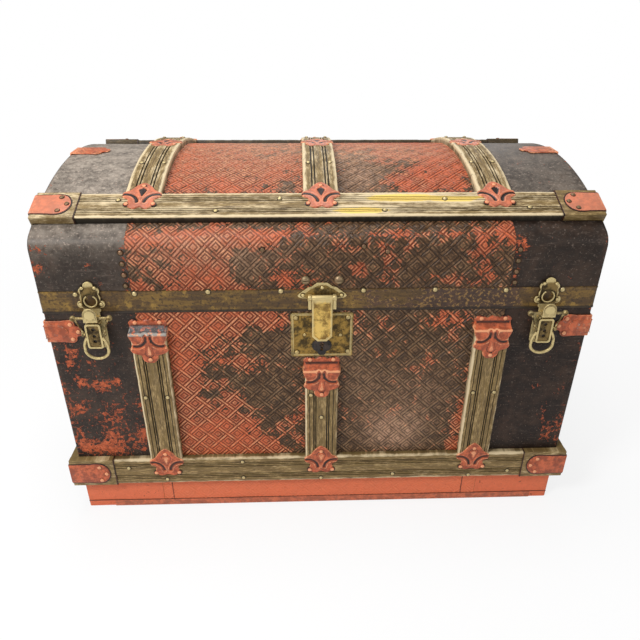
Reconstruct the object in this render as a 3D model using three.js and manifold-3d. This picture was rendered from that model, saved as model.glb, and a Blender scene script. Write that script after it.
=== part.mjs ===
// Dome top trunk: a pine box and a domed lid, skinned with tin sheet, bound with grooved
// wooden slats, and fitted with stamped clasps, corner clamps, a hasp lock, two drawbolts,
// two leather handles and two back hinges.
//
// Millimetres. X runs along the trunk, -Y is the front and Z is up. The origin is the middle
// of the base, on the floor.

import * as THREE from 'three';
import { mergeVertices } from 'three/addons/utils/BufferGeometryUtils.js';
import Module from 'manifold-3d';

const wasm = await Module();
wasm.setup();

// Driving dimensions

const archFacets = 20; // flat facets round the dome
const shoulderFacets = 4;
const crossSlatFacets = 10;
const claspFacets = 2;
const rodSides = 10;
const capSides = 12; // sides of the round part of a handle cap
const tubeSides = 8;
const cornerFacets = 3; // flat facets at a rounded corner, and half as many as round an arc
const holeFacets = 4; // half as many as the sides of a round hole in a plate
const outlinePoints = 18; // corners of a smooth outline, such as that of a clasp
const weldDistance = 1e-4; // points closer than this are one point

const seat = 0.3; // gap left where one piece rests on another
const runningGap = 0.5; // gap left between pieces that slide past each other
const overrun = 2; // how far a cutter runs past the faces that it cuts
const bite = 0.6; // how far one feature of a piece runs into the next one

const trunk = {
  width: 813,
  depth: 500,
  opening: 385, // height of the parting line between the body and the lid
  lidWall: 96.5, // height of the lid's straight wall, up to where its shoulder starts
  shoulderSlatInset: 54, // from the front face in to the middle of a shoulder slat
  archRadius: 510,
  shoulderRadius: 22, // round where the lid's wall turns into the dome
};
const board = { thickness: 10, baseThickness: 12 };
const tin = { thickness: 0.8, cornerRadius: 1.6, floorGap: 0.5 };
const slat = {
  width: 52,
  thickness: 11,
  edgeRound: 2.4,
  grooveWidth: 3.4,
  wideGrooveWidth: 8,
  grooveDepth: 1.6,
};
const slatGrooveShares = [0.23, 0.34, 0.66, 0.77];
const wideGrooveShares = [0.28, 0.72]; // a bent slat has two wide grooves instead of four
const claspOverlapShare = 0.6; // share of a clasp that lies on the slat it ties down to
const seamOffset = 16; // from an outer slat's middle to the seam between two tin sheets
const bottomSlatHeight = 61; // lower edge of the slats that run round the base
const outerSlatDrop = 31; // from the parting line down to the top of an outer front slat
const lockClearance = 1; // from the lock plate down to the middle slat's upper clasp
const lip = { height: 12, depth: 14, thickness: 6 }; // dust lip inside the opening
const edgeBand = { height: 35, thickness: 1.2, cornerRadius: 2 };
const bottomEdge = { height: 12.7, thickness: 1.2, leftEnd: 46, rightEnd: 31 };
const clamp = {
  thickness: 0.9,
  length: 60, // reach along the front from the corner
  endReach: 52, // reach along the end from the corner
  padMargin: 5, // border left round the raised pad
  padRise: 1.6,
};
const midClampSize = { height: 38, drop: 11, length: 52, endReach: 46 };
const crestClampSize = { width: 44, length: 58, endReach: 42 };
const clasp = { width: 58, height: 58, thickness: 1.3, flange: 20, tongue: 51, ridge: 2 };
const lockPlate = { width: 94, height: 76, drop: 3, thickness: 1.4, cornerRadius: 3 };
const staple = {
  drop: 37,
  width: 4,
  height: 13,
  depth: 14,
  taper: 2, // rise of the lower edge towards the tip, so that it swings clear of the slot
  eye: 5.5,
  eyeDepth: 8,
  slotGap: 2.2,
};
const lockCase = { width: 62, height: 46, depth: 26, wall: 1.5, drop: 23 };
const lockBolt = { height: 4, depth: 3, length: 19, start: 3, shelfThickness: 3.5 };
const escutcheon = { width: 31, height: 26, thickness: 1.3, drop: 58 };
const keyhole = { radius: 1.9, slotWidth: 2, slotLength: 7 };
const haspPlate = { width: 72, height: 31, thickness: 1.5, rise: 13 };
const hasp = { width: 30, length: 72, thickness: 3, chamfer: 8, rimRise: 1.2, rimWidth: 3.5 };
const haspBarrel = { radius: 4, pinRadius: 1.7, earWidth: 4.5, rise: 25, stand: 8.5 };
const pinGap = 0.4; // play between a pin and the bore that turns on it
const drawboltGap = 6; // from a mid clamp to the drawbolt beside it
const outerSlatGap = 16.1; // from a drawbolt's link to the clasps of the slat beside it
const keeper = { height: 49, halfWidth: 20, thickness: 2.6, rise: 3 };
const keeperWindow = { halfWidth: 13, rise: 9, height: 19 };
// The slack before the lip lets the link lift off its seat.
const hook = { width: 20, thickness: 2, lipHeight: 22, slack: 1.2 };
const lever = {
  width: 23,
  length: 41,
  thickness: 2.2,
  pivotDrop: 13,
  pivotStand: 10,
  faceStand: 4, // from the pivot out to the lever's inner face
  topRise: 3,
  barrelRadius: 3.2,
  barrelWidth: 14,
  pinRadius: 1.6,
  earWidth: 2.4,
  earRadius: 3.2,
  holeRadius: 2.6,
};
const leverHoleShares = [0.24, 0.5, 0.72]; // places of the lever's holes down its length
const leverLoop = { radius: 17, rod: 2.25, top: 20, bottom: 58, flare: 11, facets: 16 };
const link = {
  rod: 2.2,
  halfSpan: 26,
  ballRadius: 4.4,
  pivotDrop: 14,
  length: 26,
  eyeRadius: 4,
  eyeWidth: 3,
  pinRadius: 1.9,
  pinEnd: 2, // how far the link's pin runs past its eyes
};
const drawboltBase = { width: 30, height: 50, thickness: 1.3, topRise: 5 };
const handle = {
  height: 262,
  capSpacing: 190,
  capLength: 36,
  capHeight: 44,
  strapRadius: 7.6,
  drop: 46,
  capWall: 1.8,
  capFlange: 1.5,
  capRound: 5.4,
  strapFacets: 20,
};
const loopHalfShares = [[0.94, 0], [0.8, 0.28], [0.6, 0.72], [0.36, 0.95], [0.12, 1]];
const hinge = { spacing: 165, width: 46, leafHeight: 48, thickness: 1.8, pinRadius: 2.6 };
const hingeBarrel = { radius: 5, gap: 0.5 };

// Sizes worked out from the driving dimensions

const halfWidth = trunk.width / 2;
const halfDepth = trunk.depth / 2;
const skin = tin.thickness + seat; // from the tin's outer face in to the board
const wall = skin + board.thickness; // from the tin's outer face in to the inside
const bodyTop = trunk.opening - runningGap;
const shoulderReach = halfDepth - trunk.shoulderRadius;
const shoulderAngle = Math.acos(-shoulderReach / (trunk.archRadius - trunk.shoulderRadius));
const springHeight = trunk.opening + trunk.lidWall;
const springRise = (trunk.archRadius - trunk.shoulderRadius) * Math.sin(shoulderAngle);
const archCentre = springHeight - springRise;
const drawboltX = halfWidth - midClampSize.length - drawboltGap - drawboltBase.width / 2;
const outerSlatX = drawboltX - link.halfSpan - link.ballRadius - outerSlatGap - clasp.width / 2;
const seamX = outerSlatX + seamOffset;
const middleSlatDrop = lockPlate.drop + lockPlate.height + lockClearance + clasp.flange;
const slatStand = seat + slat.thickness; // from the tin out to a slat's face
const bottomSlatTop = bottomSlatHeight + slat.width;
const rootDepth = slat.grooveDepth + bite; // how far a clasp's root runs into its slat
const shoulderSlatAngle = Math.asin((halfDepth - trunk.shoulderSlatInset) / trunk.archRadius);
const haspPivotHeight = trunk.opening + haspBarrel.rise;
const stapleMiddle = trunk.opening - staple.drop;
const leverPivotHeight = trunk.opening - lever.pivotDrop;
const linkPivotHeight = leverPivotHeight - link.pivotDrop;
const crossbarHeight = linkPivotHeight + link.length;
const linkStand = lever.pivotStand + lever.faceStand + lever.thickness / 2;
const bandStand = seat + edgeBand.thickness; // from the lid's tin out to its edge band
const upperLeafStand = bandStand + seat;
const handleStand = seat + handle.capWall + pinGap + handle.strapRadius;
const hingeStand = upperLeafStand + hinge.thickness + hingeBarrel.gap + hingeBarrel.radius;

const finishes = {
  wood: { color: 0x8a7a52, roughness: 0.75, metalness: 0 },
  pine: { color: 0x9c7a50, roughness: 0.85, metalness: 0 },
  blackTin: { color: 0x2e2827, roughness: 0.6, metalness: 0.2 },
  embossedTin: { color: 0x6a4236, roughness: 0.65, metalness: 0.2 },
  redTin: { color: 0xcd6246, roughness: 0.6, metalness: 0.1 },
  goldTin: { color: 0x75603a, roughness: 0.55, metalness: 0.3 },
  brass: { color: 0xa08c32, roughness: 0.4, metalness: 0.9 },
  antiqueBrass: { color: 0xaa9664, roughness: 0.4, metalness: 0.9 },
  iron: { color: 0x2a2826, roughness: 0.5, metalness: 0.8 },
  leather: { color: 0x3f2415, roughness: 0.7, metalness: 0 },
};

// Solids: closed meshes that can be joined and cut

function toSolid(geometry) {
  const bare = geometry.clone();
  bare.deleteAttribute('normal');
  bare.deleteAttribute('uv');
  const merged = mergeVertices(bare, weldDistance);
  return new wasm.Manifold(new wasm.Mesh({
    numProp: 3,
    vertProperties: new Float32Array(merged.attributes.position.array),
    triVerts: new Uint32Array(merged.index.array),
  }));
}

function toGeometry(solid) {
  const mesh = solid.getMesh();
  const geometry = new THREE.BufferGeometry();
  geometry.setAttribute('position', new THREE.BufferAttribute(mesh.vertProperties, 3));
  geometry.setIndex(new THREE.BufferAttribute(mesh.triVerts, 1));
  geometry.computeVertexNormals();
  return geometry;
}

function join(first, ...others) {
  return toGeometry(others.reduce((sum, other) => sum.add(toSolid(other)), toSolid(first)));
}

function cut(first, ...cutters) {
  return toGeometry(cutters.reduce((rest, cutter) => rest.subtract(toSolid(cutter)), toSolid(first)));
}

function common(first, second) {
  return toGeometry(toSolid(first).intersect(toSolid(second)));
}

// Shapes

function block(x, y, z) {
  const box = new THREE.BoxGeometry(x[1] - x[0], y[1] - y[0], z[1] - z[0]);
  return box.translate((x[0] + x[1]) / 2, (y[0] + y[1]) / 2, (z[0] + z[1]) / 2);
}

function extrude(shape, depth, detail = cornerFacets, steps = 1) {
  const options = { depth, steps, curveSegments: detail, bevelEnabled: false };
  return new THREE.ExtrudeGeometry(shape, options);
}

// A plate on a wall: the outline is (x, z), and it grows outwards, towards -Y, from its stand.
function plate(shape, thickness, stand = 0, detail = cornerFacets) {
  return extrude(shape, thickness, detail).rotateX(Math.PI / 2).translate(0, -stand, 0);
}

// A bar along X: the outline is (y, z).
function barX(shape, from, to) {
  const turned = new THREE.Matrix4().set(0, 0, 1, from, 1, 0, 0, 0, 0, 1, 0, 0, 0, 0, 0, 1);
  return extrude(shape, to - from).applyMatrix4(turned);
}

function rodX(radius, from, to, stand, height, sides = rodSides) {
  const rod = new THREE.CylinderGeometry(radius, radius, to - from, sides);
  return rod.rotateZ(Math.PI / 2).translate((from + to) / 2, -stand, height);
}

function roundedRectangle(low, high, radius) {
  const shape = new THREE.Shape();
  shape.moveTo(low[0] + radius, low[1]);
  shape.lineTo(high[0] - radius, low[1]);
  shape.quadraticCurveTo(high[0], low[1], high[0], low[1] + radius);
  shape.lineTo(high[0], high[1] - radius);
  shape.quadraticCurveTo(high[0], high[1], high[0] - radius, high[1]);
  shape.lineTo(low[0] + radius, high[1]);
  shape.quadraticCurveTo(low[0], high[1], low[0], high[1] - radius);
  shape.lineTo(low[0], low[1] + radius);
  shape.quadraticCurveTo(low[0], low[1], low[0] + radius, low[1]);
  return shape;
}

function ring(halfX, halfY, thickness, radius, bottom, top) {
  const shape = roundedRectangle([-halfX, -halfY], [halfX, halfY], radius);
  const innerX = halfX - thickness;
  const innerY = halfY - thickness;
  const inner = Math.max(radius - thickness, seat);
  shape.holes.push(roundedRectangle([-innerX, -innerY], [innerX, innerY], inner));
  return extrude(shape, top - bottom).translate(0, 0, bottom);
}

// A smooth outline, the same on both sides of x = 0, from its right half as shares.
function mirroredOutline(halfShares, halfSpan, height) {
  const right = halfShares.map(([x, z]) => new THREE.Vector3(x * halfSpan, z * height, 0));
  const inner = right.filter((point) => point.x > 0);
  const left = inner.map((point) => new THREE.Vector3(-point.x, point.y, 0)).reverse();
  const curve = new THREE.CatmullRomCurve3([...right, ...left], true, 'centripetal');
  const points = curve.getPoints(outlinePoints).slice(0, -1);
  return new THREE.Shape(points.map((p) => new THREE.Vector2(p.x, p.y)));
}

// Groups, one for each wall: inside a wall's group, x runs along the wall, -Y is outwards and
// y = 0 is the tin's outer face.

const model = new THREE.Group();

function wallGroup(turn, reach) {
  const group = new THREE.Group();
  group.rotation.z = turn;
  group.position.set(Math.sin(turn) * reach, -Math.cos(turn) * reach, 0);
  model.add(group);
  return group;
}

const front = wallGroup(0, halfDepth);
const back = wallGroup(Math.PI, halfDepth);
const left = wallGroup(-Math.PI / 2, halfWidth);
const right = wallGroup(Math.PI / 2, halfWidth);

function addPiece(parent, name, geometry, finish) {
  const mesh = new THREE.Mesh(geometry, new THREE.MeshStandardMaterial(finishes[finish]));
  mesh.name = name;
  parent.add(mesh);
  return mesh;
}

// Wooden box

// The lock case stands in a hole through the front tin and the front board.
function lockMortise(faceY) {
  const half = lockCase.width / 2 + seat;
  const top = trunk.opening - lockCase.drop + seat;
  const bottom = top - lockCase.height - seat * 2;
  return block([-half, half], [faceY - overrun, faceY + wall + overrun], [bottom, top]);
}

function addBodyBoards() {
  const outerX = halfWidth - skin;
  const outerY = halfDepth - skin;
  const innerX = halfWidth - wall;
  const innerY = halfDepth - wall;
  const faceBoard = block([-outerX, outerX], [-outerY, -innerY], [0, bodyTop]);
  const mortise = lockMortise(-halfDepth);
  addPiece(model, 'front_board', cut(faceBoard, mortise), 'pine');
  addPiece(model, 'back_board', block([-outerX, outerX], [innerY, outerY], [0, bodyTop]), 'pine');
  const endY = innerY - seat;
  addPiece(model, 'left_end_board', block([-outerX, -innerX], [-endY, endY], [0, bodyTop]), 'pine');
  addPiece(model, 'right_end_board', block([innerX, outerX], [-endY, endY], [0, bodyTop]), 'pine');
  const baseX = innerX - seat;
  const base = block([-baseX, baseX], [-endY, endY], [0, board.baseThickness]);
  addPiece(model, 'bottom_board', base, 'pine');
}

// The lip stands up inside the opening, and the lid closes over it.
function addDustLip() {
  const halfX = halfWidth - wall - runningGap;
  const halfY = halfDepth - wall - runningGap;
  const bottom = trunk.opening - lip.depth;
  const top = trunk.opening + lip.height;
  addPiece(model, 'dust_lip', ring(halfX, halfY, lip.thickness, lip.thickness, bottom, top), 'pine');
}

// Tin sheets of the body: one embossed sheet in front, one plain at the back, and one wrapped
// round each end, with two mid clamps on it

function endSheet() {
  const shape = new THREE.Shape();
  const radius = tin.cornerRadius;
  const inner = halfDepth - tin.thickness;
  const seam = halfWidth - seamX - seat / 2;
  const bend = halfDepth - radius;
  shape.moveTo(-halfDepth, seam);
  shape.lineTo(-halfDepth, radius);
  shape.quadraticCurveTo(-halfDepth, 0, -bend, 0);
  shape.lineTo(bend, 0);
  shape.quadraticCurveTo(halfDepth, 0, halfDepth, radius);
  shape.lineTo(halfDepth, seam);
  shape.lineTo(inner, seam);
  shape.lineTo(inner, radius);
  shape.quadraticCurveTo(inner, tin.thickness, bend, tin.thickness);
  shape.lineTo(-bend, tin.thickness);
  shape.quadraticCurveTo(-inner, tin.thickness, -inner, radius);
  shape.lineTo(-inner, seam);
  return extrude(shape, bodyTop - tin.floorGap).translate(0, 0, tin.floorGap);
}

// A clamp's leg: a strip with a round inner end, cut square at the corner of the trunk.
function legShape(reach, height) {
  const shape = new THREE.Shape();
  const radius = height / 2;
  shape.moveTo(0, -radius);
  shape.absarc(reach - radius, 0, radius, -Math.PI / 2, Math.PI / 2, false);
  shape.lineTo(0, radius);
  return shape;
}

// Swaps a leg that runs along +X and faces -Y for one that runs along +Y and faces -X.
function roundCorner(leg) {
  return leg.applyMatrix4(new THREE.Matrix4().set(0, 1, 0, 0, 1, 0, 0, 0, 0, 0, -1, 0, 0, 0, 0, 1));
}

// A mid clamp lies on the tin round a corner at x = 0, y = 0, its legs along +X and +Y.
function midClamp(reachX, reachY) {
  const sink = tin.thickness / 2;
  const stand = clamp.thickness + clamp.padRise;
  const legX = plate(legShape(reachX + stand, midClampSize.height), sink + stand, -sink);
  const legY = plate(legShape(reachY + stand, midClampSize.height), sink + stand, -sink);
  const corner = join(legX.translate(-stand, 0, 0), roundCorner(legY.translate(-stand, 0, 0)));
  return corner.translate(0, 0, trunk.opening - midClampSize.drop - midClampSize.height / 2);
}

function endSheetWithClamps() {
  const { length, endReach } = midClampSize;
  const first = midClamp(endReach, length).translate(-halfDepth, 0, 0);
  const second = midClamp(length, endReach).rotateZ(Math.PI / 2).translate(halfDepth, 0, 0);
  return join(endSheet(), first, second);
}

function addBodySheets() {
  const half = seamX - seat / 2;
  const sheet = block([-half, half], [0, tin.thickness], [tin.floorGap, bodyTop]);
  addPiece(front, 'body_front_sheet', cut(sheet, lockMortise(0)), 'embossedTin');
  addPiece(back, 'body_back_sheet', sheet, 'blackTin');
  addPiece(left, 'left_end_sheet', endSheetWithClamps(), 'blackTin');
  addPiece(right, 'right_end_sheet', endSheetWithClamps(), 'blackTin');
}

function addBottomEdge() {
  const leftEnd = -halfWidth + bottomEdge.leftEnd;
  const rightEnd = halfWidth - bottomEdge.rightEnd;
  const stand = seat + bottomEdge.thickness;
  const strip = block([leftEnd, rightEnd], [-stand, -seat], [tin.floorGap, bottomEdge.height]);
  addPiece(front, 'bottom_edge_strip', strip, 'redTin');
}

// Slats: grooved wooden strips with eased edges

function slatOutline(grooveShares = slatGrooveShares, grooveWidth = slat.grooveWidth) {
  const half = slat.width / 2;
  const points = [
    [half, 0],
    [half, slat.thickness - slat.edgeRound],
    [half - slat.edgeRound, slat.thickness],
  ];
  for (const share of [...grooveShares].reverse()) {
    const middle = (share * 2 - 1) * half;
    points.push([middle + grooveWidth / 2, slat.thickness]);
    points.push([middle, slat.thickness - slat.grooveDepth]);
    points.push([middle - grooveWidth / 2, slat.thickness]);
  }
  points.push([-half + slat.edgeRound, slat.thickness]);
  points.push([-half, slat.thickness - slat.edgeRound]);
  points.push([-half, 0]);
  return new THREE.Shape(points.map(([across, out]) => new THREE.Vector2(across, out)));
}

// A straight slat along X, its width along Z and its back on y = -seat.
function straightSlat(from, to) {
  const turned = new THREE.Matrix4().set(0, 0, 1, from, 0, -1, 0, -seat, 1, 0, 0, 0, 0, 0, 0, 1);
  return extrude(slatOutline(), to - from).applyMatrix4(turned);
}

function uprightSlat(from, to) {
  const turned = new THREE.Matrix4().set(-1, 0, 0, 0, 0, -1, 0, -seat, 0, 0, 1, from, 0, 0, 0, 1);
  return extrude(slatOutline(), to - from).applyMatrix4(turned);
}

// Bends a bar whose outline is (x, out) over the dome. Angles start at the crest and grow
// towards the front.
function overDome(shape, from, to, steps) {
  const bar = extrude(shape, to - from, 1, steps);
  const place = bar.attributes.position;
  for (let i = 0; i < place.count; i += 1) {
    const angle = from + place.getZ(i);
    const radius = trunk.archRadius + place.getY(i);
    place.setXYZ(i, place.getX(i), -radius * Math.sin(angle), archCentre + radius * Math.cos(angle));
  }
  return bar;
}

// Tips a piece that faces -Y so that it lies on the dome at an angle from the crest.
function ontoDome(piece, angle) {
  const y = -trunk.archRadius * Math.sin(angle);
  const z = archCentre + trunk.archRadius * Math.cos(angle);
  return piece.rotateX(angle - Math.PI / 2).translate(0, y, z);
}

// Clasps: stamped plates that tie the end of one slat to the slat or sheet next to it

const fleurHalfShares = [
  [0, 0.07], [0.3, 0], [0.62, 0.06], [0.66, 0.24], [0.6, 0.34], [0.94, 0.37], [1, 0.5],
  [0.9, 0.62], [0.55, 0.66], [0.42, 0.8], [0.2, 0.95], [0, 1],
];
const tongueHalfShares = [
  [0, 0], [0.24, 0.03], [0.34, 0.13], [0.32, 0.3], [0.6, 0.27], [0.86, 0.34], [0.96, 0.5],
  [0.84, 0.64], [0.9, 0.8], [1, 0.9], [0.97, 1.02], [0, 1.02],
];

function fleurOutline() {
  return mirroredOutline(fleurHalfShares, clasp.width / 2, clasp.height);
}

// A lower clasp lies flat over the foot of an upright slat and the slat below it.
function lowerClasp() {
  const low = bottomSlatTop - clasp.height * claspOverlapShare;
  const cover = plate(fleurOutline(), clasp.thickness, slatStand + seat);
  const root = plate(fleurOutline(), rootDepth + seat + clasp.thickness, slatStand - rootDepth);
  const foot = bottomSlatTop + seat - low;
  const belowFoot = block([-clasp.width, clasp.width], [-slatStand * 2, 0], [-overrun, foot]);
  return join(cover, cut(root, belowFoot)).translate(0, 0, low);
}

// An upper clasp is nailed to the tin, steps out over the slat's end and runs down its face.
function upperClasp(slatTop) {
  const stand = slatStand + seat;
  const half = clasp.width / 2;
  const profile = new THREE.Shape();
  profile.moveTo(-seat, slatTop + clasp.flange);
  profile.lineTo(-seat - clasp.thickness, slatTop + clasp.flange);
  profile.lineTo(-seat - clasp.thickness, slatTop + seat + clasp.thickness + clasp.ridge);
  profile.lineTo(-stand - clasp.ridge, slatTop + seat + clasp.thickness);
  profile.lineTo(-stand - clasp.thickness, slatTop - clasp.ridge);
  profile.lineTo(-stand - clasp.thickness, slatTop - clasp.tongue);
  profile.lineTo(-slatStand + rootDepth, slatTop - clasp.tongue);
  profile.lineTo(-slatStand + rootDepth, slatTop - bite);
  profile.lineTo(-seat, slatTop - bite);
  const height = clasp.tongue;
  const outline = mirroredOutline(tongueHalfShares, half, height);
  const depth = slatStand + clasp.thickness + overrun * 2;
  const flangeLow = [-half, height - clasp.ridge];
  const flangeHigh = [half, height + clasp.flange];
  const flange = roundedRectangle(flangeLow, flangeHigh, clasp.ridge);
  const mask = join(plate(outline, depth, -overrun), plate(flange, depth, -overrun));
  return common(barX(profile, -half, half), mask.translate(0, 0, slatTop - clasp.tongue));
}

function addFrontSlats() {
  const places = [['left', -outerSlatX], ['middle', 0], ['right', outerSlatX]];
  for (const [side, x] of places) {
    const top = trunk.opening - (x === 0 ? middleSlatDrop : outerSlatDrop);
    const geometry = join(uprightSlat(bottomSlatTop + seat, top), upperClasp(top), lowerClasp());
    addPiece(front, `front_slat_${side}`, geometry, 'wood').position.x = x;
  }
}

// A corner clamp is a stamped cap over the ends of the slats that meet at a corner, with a
// plain border round a raised pad. Built at the corner x = 0, y = 0, its legs along +X and +Y.
// A stand is how far out the slat's face lies, or zero where a leg lies on bare tin.
function cornerClamp(reachX, reachY, standX, standY) {
  const innerX = standX + seat;
  const innerY = standY + seat;
  const outerX = innerX + clamp.thickness;
  const outerY = innerY + clamp.thickness;
  const half = slat.width / 2 + seat;
  const outside = half + clamp.thickness;
  const shell = join(
    block([-outerY, reachX], [-outerX, -seat], [-outside, outside]),
    block([-outerY, -seat], [-outerX, reachY], [-outside, outside]),
  );
  const hollow = join(
    block([-innerY, reachX + overrun], [-innerX, overrun], [-half, half]),
    block([-innerY, overrun], [-innerX, reachY + overrun], [-half, half]),
  );
  const padHeight = slat.width - clamp.padMargin * 2;
  const rise = clamp.padRise + clamp.thickness / 2;
  const lengthX = reachX + outerY + clamp.padRise - clamp.padMargin;
  const lengthY = reachY + outerX + clamp.padRise - clamp.padMargin;
  const padX = plate(legShape(lengthX, padHeight), rise, outerX - clamp.thickness / 2);
  const padY = plate(legShape(lengthY, padHeight), rise, outerY - clamp.thickness / 2);
  return join(
    cut(shell, hollow),
    padX.translate(-outerY - clamp.padRise, 0, 0),
    roundCorner(padY.translate(-outerX - clamp.padRise, 0, 0)),
  );
}

// The clamp on one end of a slat, as seen from outside its wall. The end stand is that of the
// slat round the corner, or zero where there is none.
function slatClamp(side, endStand) {
  const piece = side < 0
    ? cornerClamp(clamp.length, clamp.endReach, slatStand, endStand)
    : cornerClamp(clamp.endReach, clamp.length, endStand, slatStand).rotateZ(Math.PI / 2);
  return piece.translate(side * halfWidth, 0, 0);
}

// The clamps at the back are one piece with the slat that they cap: a nail block fills the
// gap between the two, behind the raised pad.
function tied(piece, side) {
  const from = side * (halfWidth - clamp.length + clamp.padMargin);
  const to = side * (halfWidth - clamp.padMargin);
  const reach = [Math.min(from, to), Math.max(from, to)];
  const half = slat.width / 2 - clamp.padMargin * 2;
  const stand = slatStand + seat + clamp.thickness / 2;
  return join(piece, block(reach, [-stand, -slatStand + slat.grooveDepth * 2], [-half, half]));
}

function addBottomSlats() {
  const reach = halfWidth + slatStand;
  const middle = (bottomSlatHeight + bottomSlatTop) / 2;
  const bar = straightSlat(-reach, reach);
  const backClamps = [-1, 1].map((side) => tied(slatClamp(side, slatStand), side));
  const across = straightSlat(-halfDepth + seat, halfDepth - seat).translate(0, 0, middle);
  addPiece(front, 'bottom_slat_front', bar.clone().translate(0, 0, middle), 'wood');
  addPiece(back, 'bottom_slat_back', join(bar, ...backClamps).translate(0, 0, middle), 'wood');
  addPiece(left, 'bottom_slat_left', across, 'wood');
  addPiece(right, 'bottom_slat_right', across.clone(), 'wood');
  for (const [name, side] of [['left', -1], ['right', 1]]) {
    const piece = slatClamp(side, slatStand).translate(0, 0, middle);
    addPiece(front, `bottom_clamp_${name}`, piece, 'redTin');
  }
}

// Lid

// A section across the lid is a straight wall, a round shoulder, the arch, and the same again.
// This is its outline, set in from the tin's outer face, down to a given height.
function lidSection(inset, bottom) {
  const shoulder = trunk.shoulderRadius - inset;
  const arch = trunk.archRadius - inset;
  const points = [new THREE.Vector2(-halfDepth + inset, bottom)];
  addArc(points, -shoulderReach, springHeight, shoulder, Math.PI, shoulderAngle, shoulderFacets);
  addArc(points, 0, archCentre, arch, shoulderAngle, Math.PI - shoulderAngle, archFacets);
  addArc(points, shoulderReach, springHeight, shoulder, Math.PI - shoulderAngle, 0, shoulderFacets);
  points.push(new THREE.Vector2(halfDepth - inset, bottom));
  return points;
}

function addArc(points, y, z, radius, from, to, facets) {
  const arc = new THREE.EllipseCurve(y, z, radius, radius, from, to, from > to);
  const joined = points[points.length - 1];
  const start = arc.getPoint(0);
  const fresh = joined.distanceTo(start) > weldDistance;
  points.push(...arc.getPoints(facets).slice(fresh ? 0 : 1));
}

// A shell of the lid's section, from one inset to a deeper one.
function lidShell(outerInset, innerInset, bottom, from, to) {
  const outer = lidSection(outerInset, bottom);
  const inner = lidSection(innerInset, bottom).reverse();
  return barX(new THREE.Shape([...outer, ...inner]), from, to);
}

function lidPanel(inset, bottom, from, to) {
  return barX(new THREE.Shape(lidSection(inset, bottom)), from, to);
}

function addLidBoards() {
  const outerX = halfWidth - skin;
  const innerX = halfWidth - wall;
  const span = [-outerX, outerX];
  const height = [trunk.opening, springHeight - seat];
  const frontWall = block(span, [-halfDepth + skin, -halfDepth + wall], height);
  const backWall = block(span, [halfDepth - wall, halfDepth - skin], height);
  addPiece(model, 'lid_front_board', frontWall, 'pine');
  addPiece(model, 'lid_back_board', backWall, 'pine');
  const panelInset = wall + seat;
  addPiece(model, 'lid_left_end_panel', lidPanel(panelInset, trunk.opening, -outerX, -innerX), 'pine');
  addPiece(model, 'lid_right_end_panel', lidPanel(panelInset, trunk.opening, innerX, outerX), 'pine');
  addPiece(model, 'dome_shell', lidShell(skin, wall, springHeight, -outerX, outerX), 'pine');
}

// A crest clamp lies over the end of the dome's crest and down the lid's end.
function crestClamp() {
  const sink = tin.thickness / 2;
  const stand = clamp.thickness + clamp.padRise;
  const shape = legShape(crestClampSize.length + stand, crestClampSize.width);
  const endShape = legShape(crestClampSize.endReach + stand, crestClampSize.width);
  const sag = trunk.archRadius - Math.hypot(trunk.archRadius, crestClampSize.width / 2) - sink;
  const top = plate(shape, stand - sag, sag).translate(-stand, 0, 0);
  const end = roundCorner(plate(endShape, stand + sink, -sink).translate(-stand, 0, 0));
  return ontoDome(join(top, end), 0);
}

function addLidSheets() {
  const seam = seamX - seat / 2;
  const seamEnd = seamX + seat / 2;
  const bottom = trunk.opening + tin.floorGap;
  const bandFrom = -halfWidth;
  const middle = lidShell(0, tin.thickness, bottom, -seam, seam);
  addPiece(model, 'lid_middle_sheet', middle, 'embossedTin');
  const wrap = lidShell(0, tin.thickness, bottom, bandFrom, -seamEnd);
  const end = lidPanel(0, bottom, bandFrom, bandFrom + tin.thickness);
  const leftCap = join(wrap, end, crestClamp().translate(bandFrom, 0, 0));
  const rightCap = leftCap.clone().rotateZ(Math.PI);
  addPiece(model, 'lid_left_sheet', leftCap, 'blackTin');
  addPiece(model, 'lid_right_sheet', rightCap, 'blackTin');
}

function addEdgeBand() {
  const halfX = halfWidth + bandStand;
  const halfY = halfDepth + bandStand;
  const radius = edgeBand.cornerRadius;
  const top = trunk.opening + edgeBand.height;
  const band = ring(halfX, halfY, edgeBand.thickness, radius, trunk.opening, top);
  addPiece(model, 'lid_edge_band', band, 'goldTin');
}

// Slats of the lid. A shoulder slat runs the length of the trunk where the wall turns into
// the dome, and the cross slats are bent over the dome from one shoulder slat to the other.
function addShoulderSlats() {
  const bar = straightSlat(-halfWidth, halfWidth);
  const backClamps = [-1, 1].map((side) => tied(slatClamp(side, 0), side));
  const backSlat = ontoDome(join(bar, ...backClamps), shoulderSlatAngle).rotateZ(Math.PI);
  addPiece(model, 'shoulder_slat_front', ontoDome(bar, shoulderSlatAngle), 'wood');
  addPiece(model, 'shoulder_slat_back', backSlat, 'wood');
  for (const [name, side] of [['left', -1], ['right', 1]]) {
    const piece = ontoDome(slatClamp(side, 0), shoulderSlatAngle);
    addPiece(model, `shoulder_clamp_${name}`, piece, 'redTin');
  }
}

function domeClasp(fromAngle, toAngle, lowStand, highStand) {
  const half = clasp.width / 2;
  const strip = new THREE.Shape([
    new THREE.Vector2(-half, lowStand),
    new THREE.Vector2(half, lowStand),
    new THREE.Vector2(half, highStand),
    new THREE.Vector2(-half, highStand),
  ]);
  return overDome(strip, fromAngle, toAngle, claspFacets);
}

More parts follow.
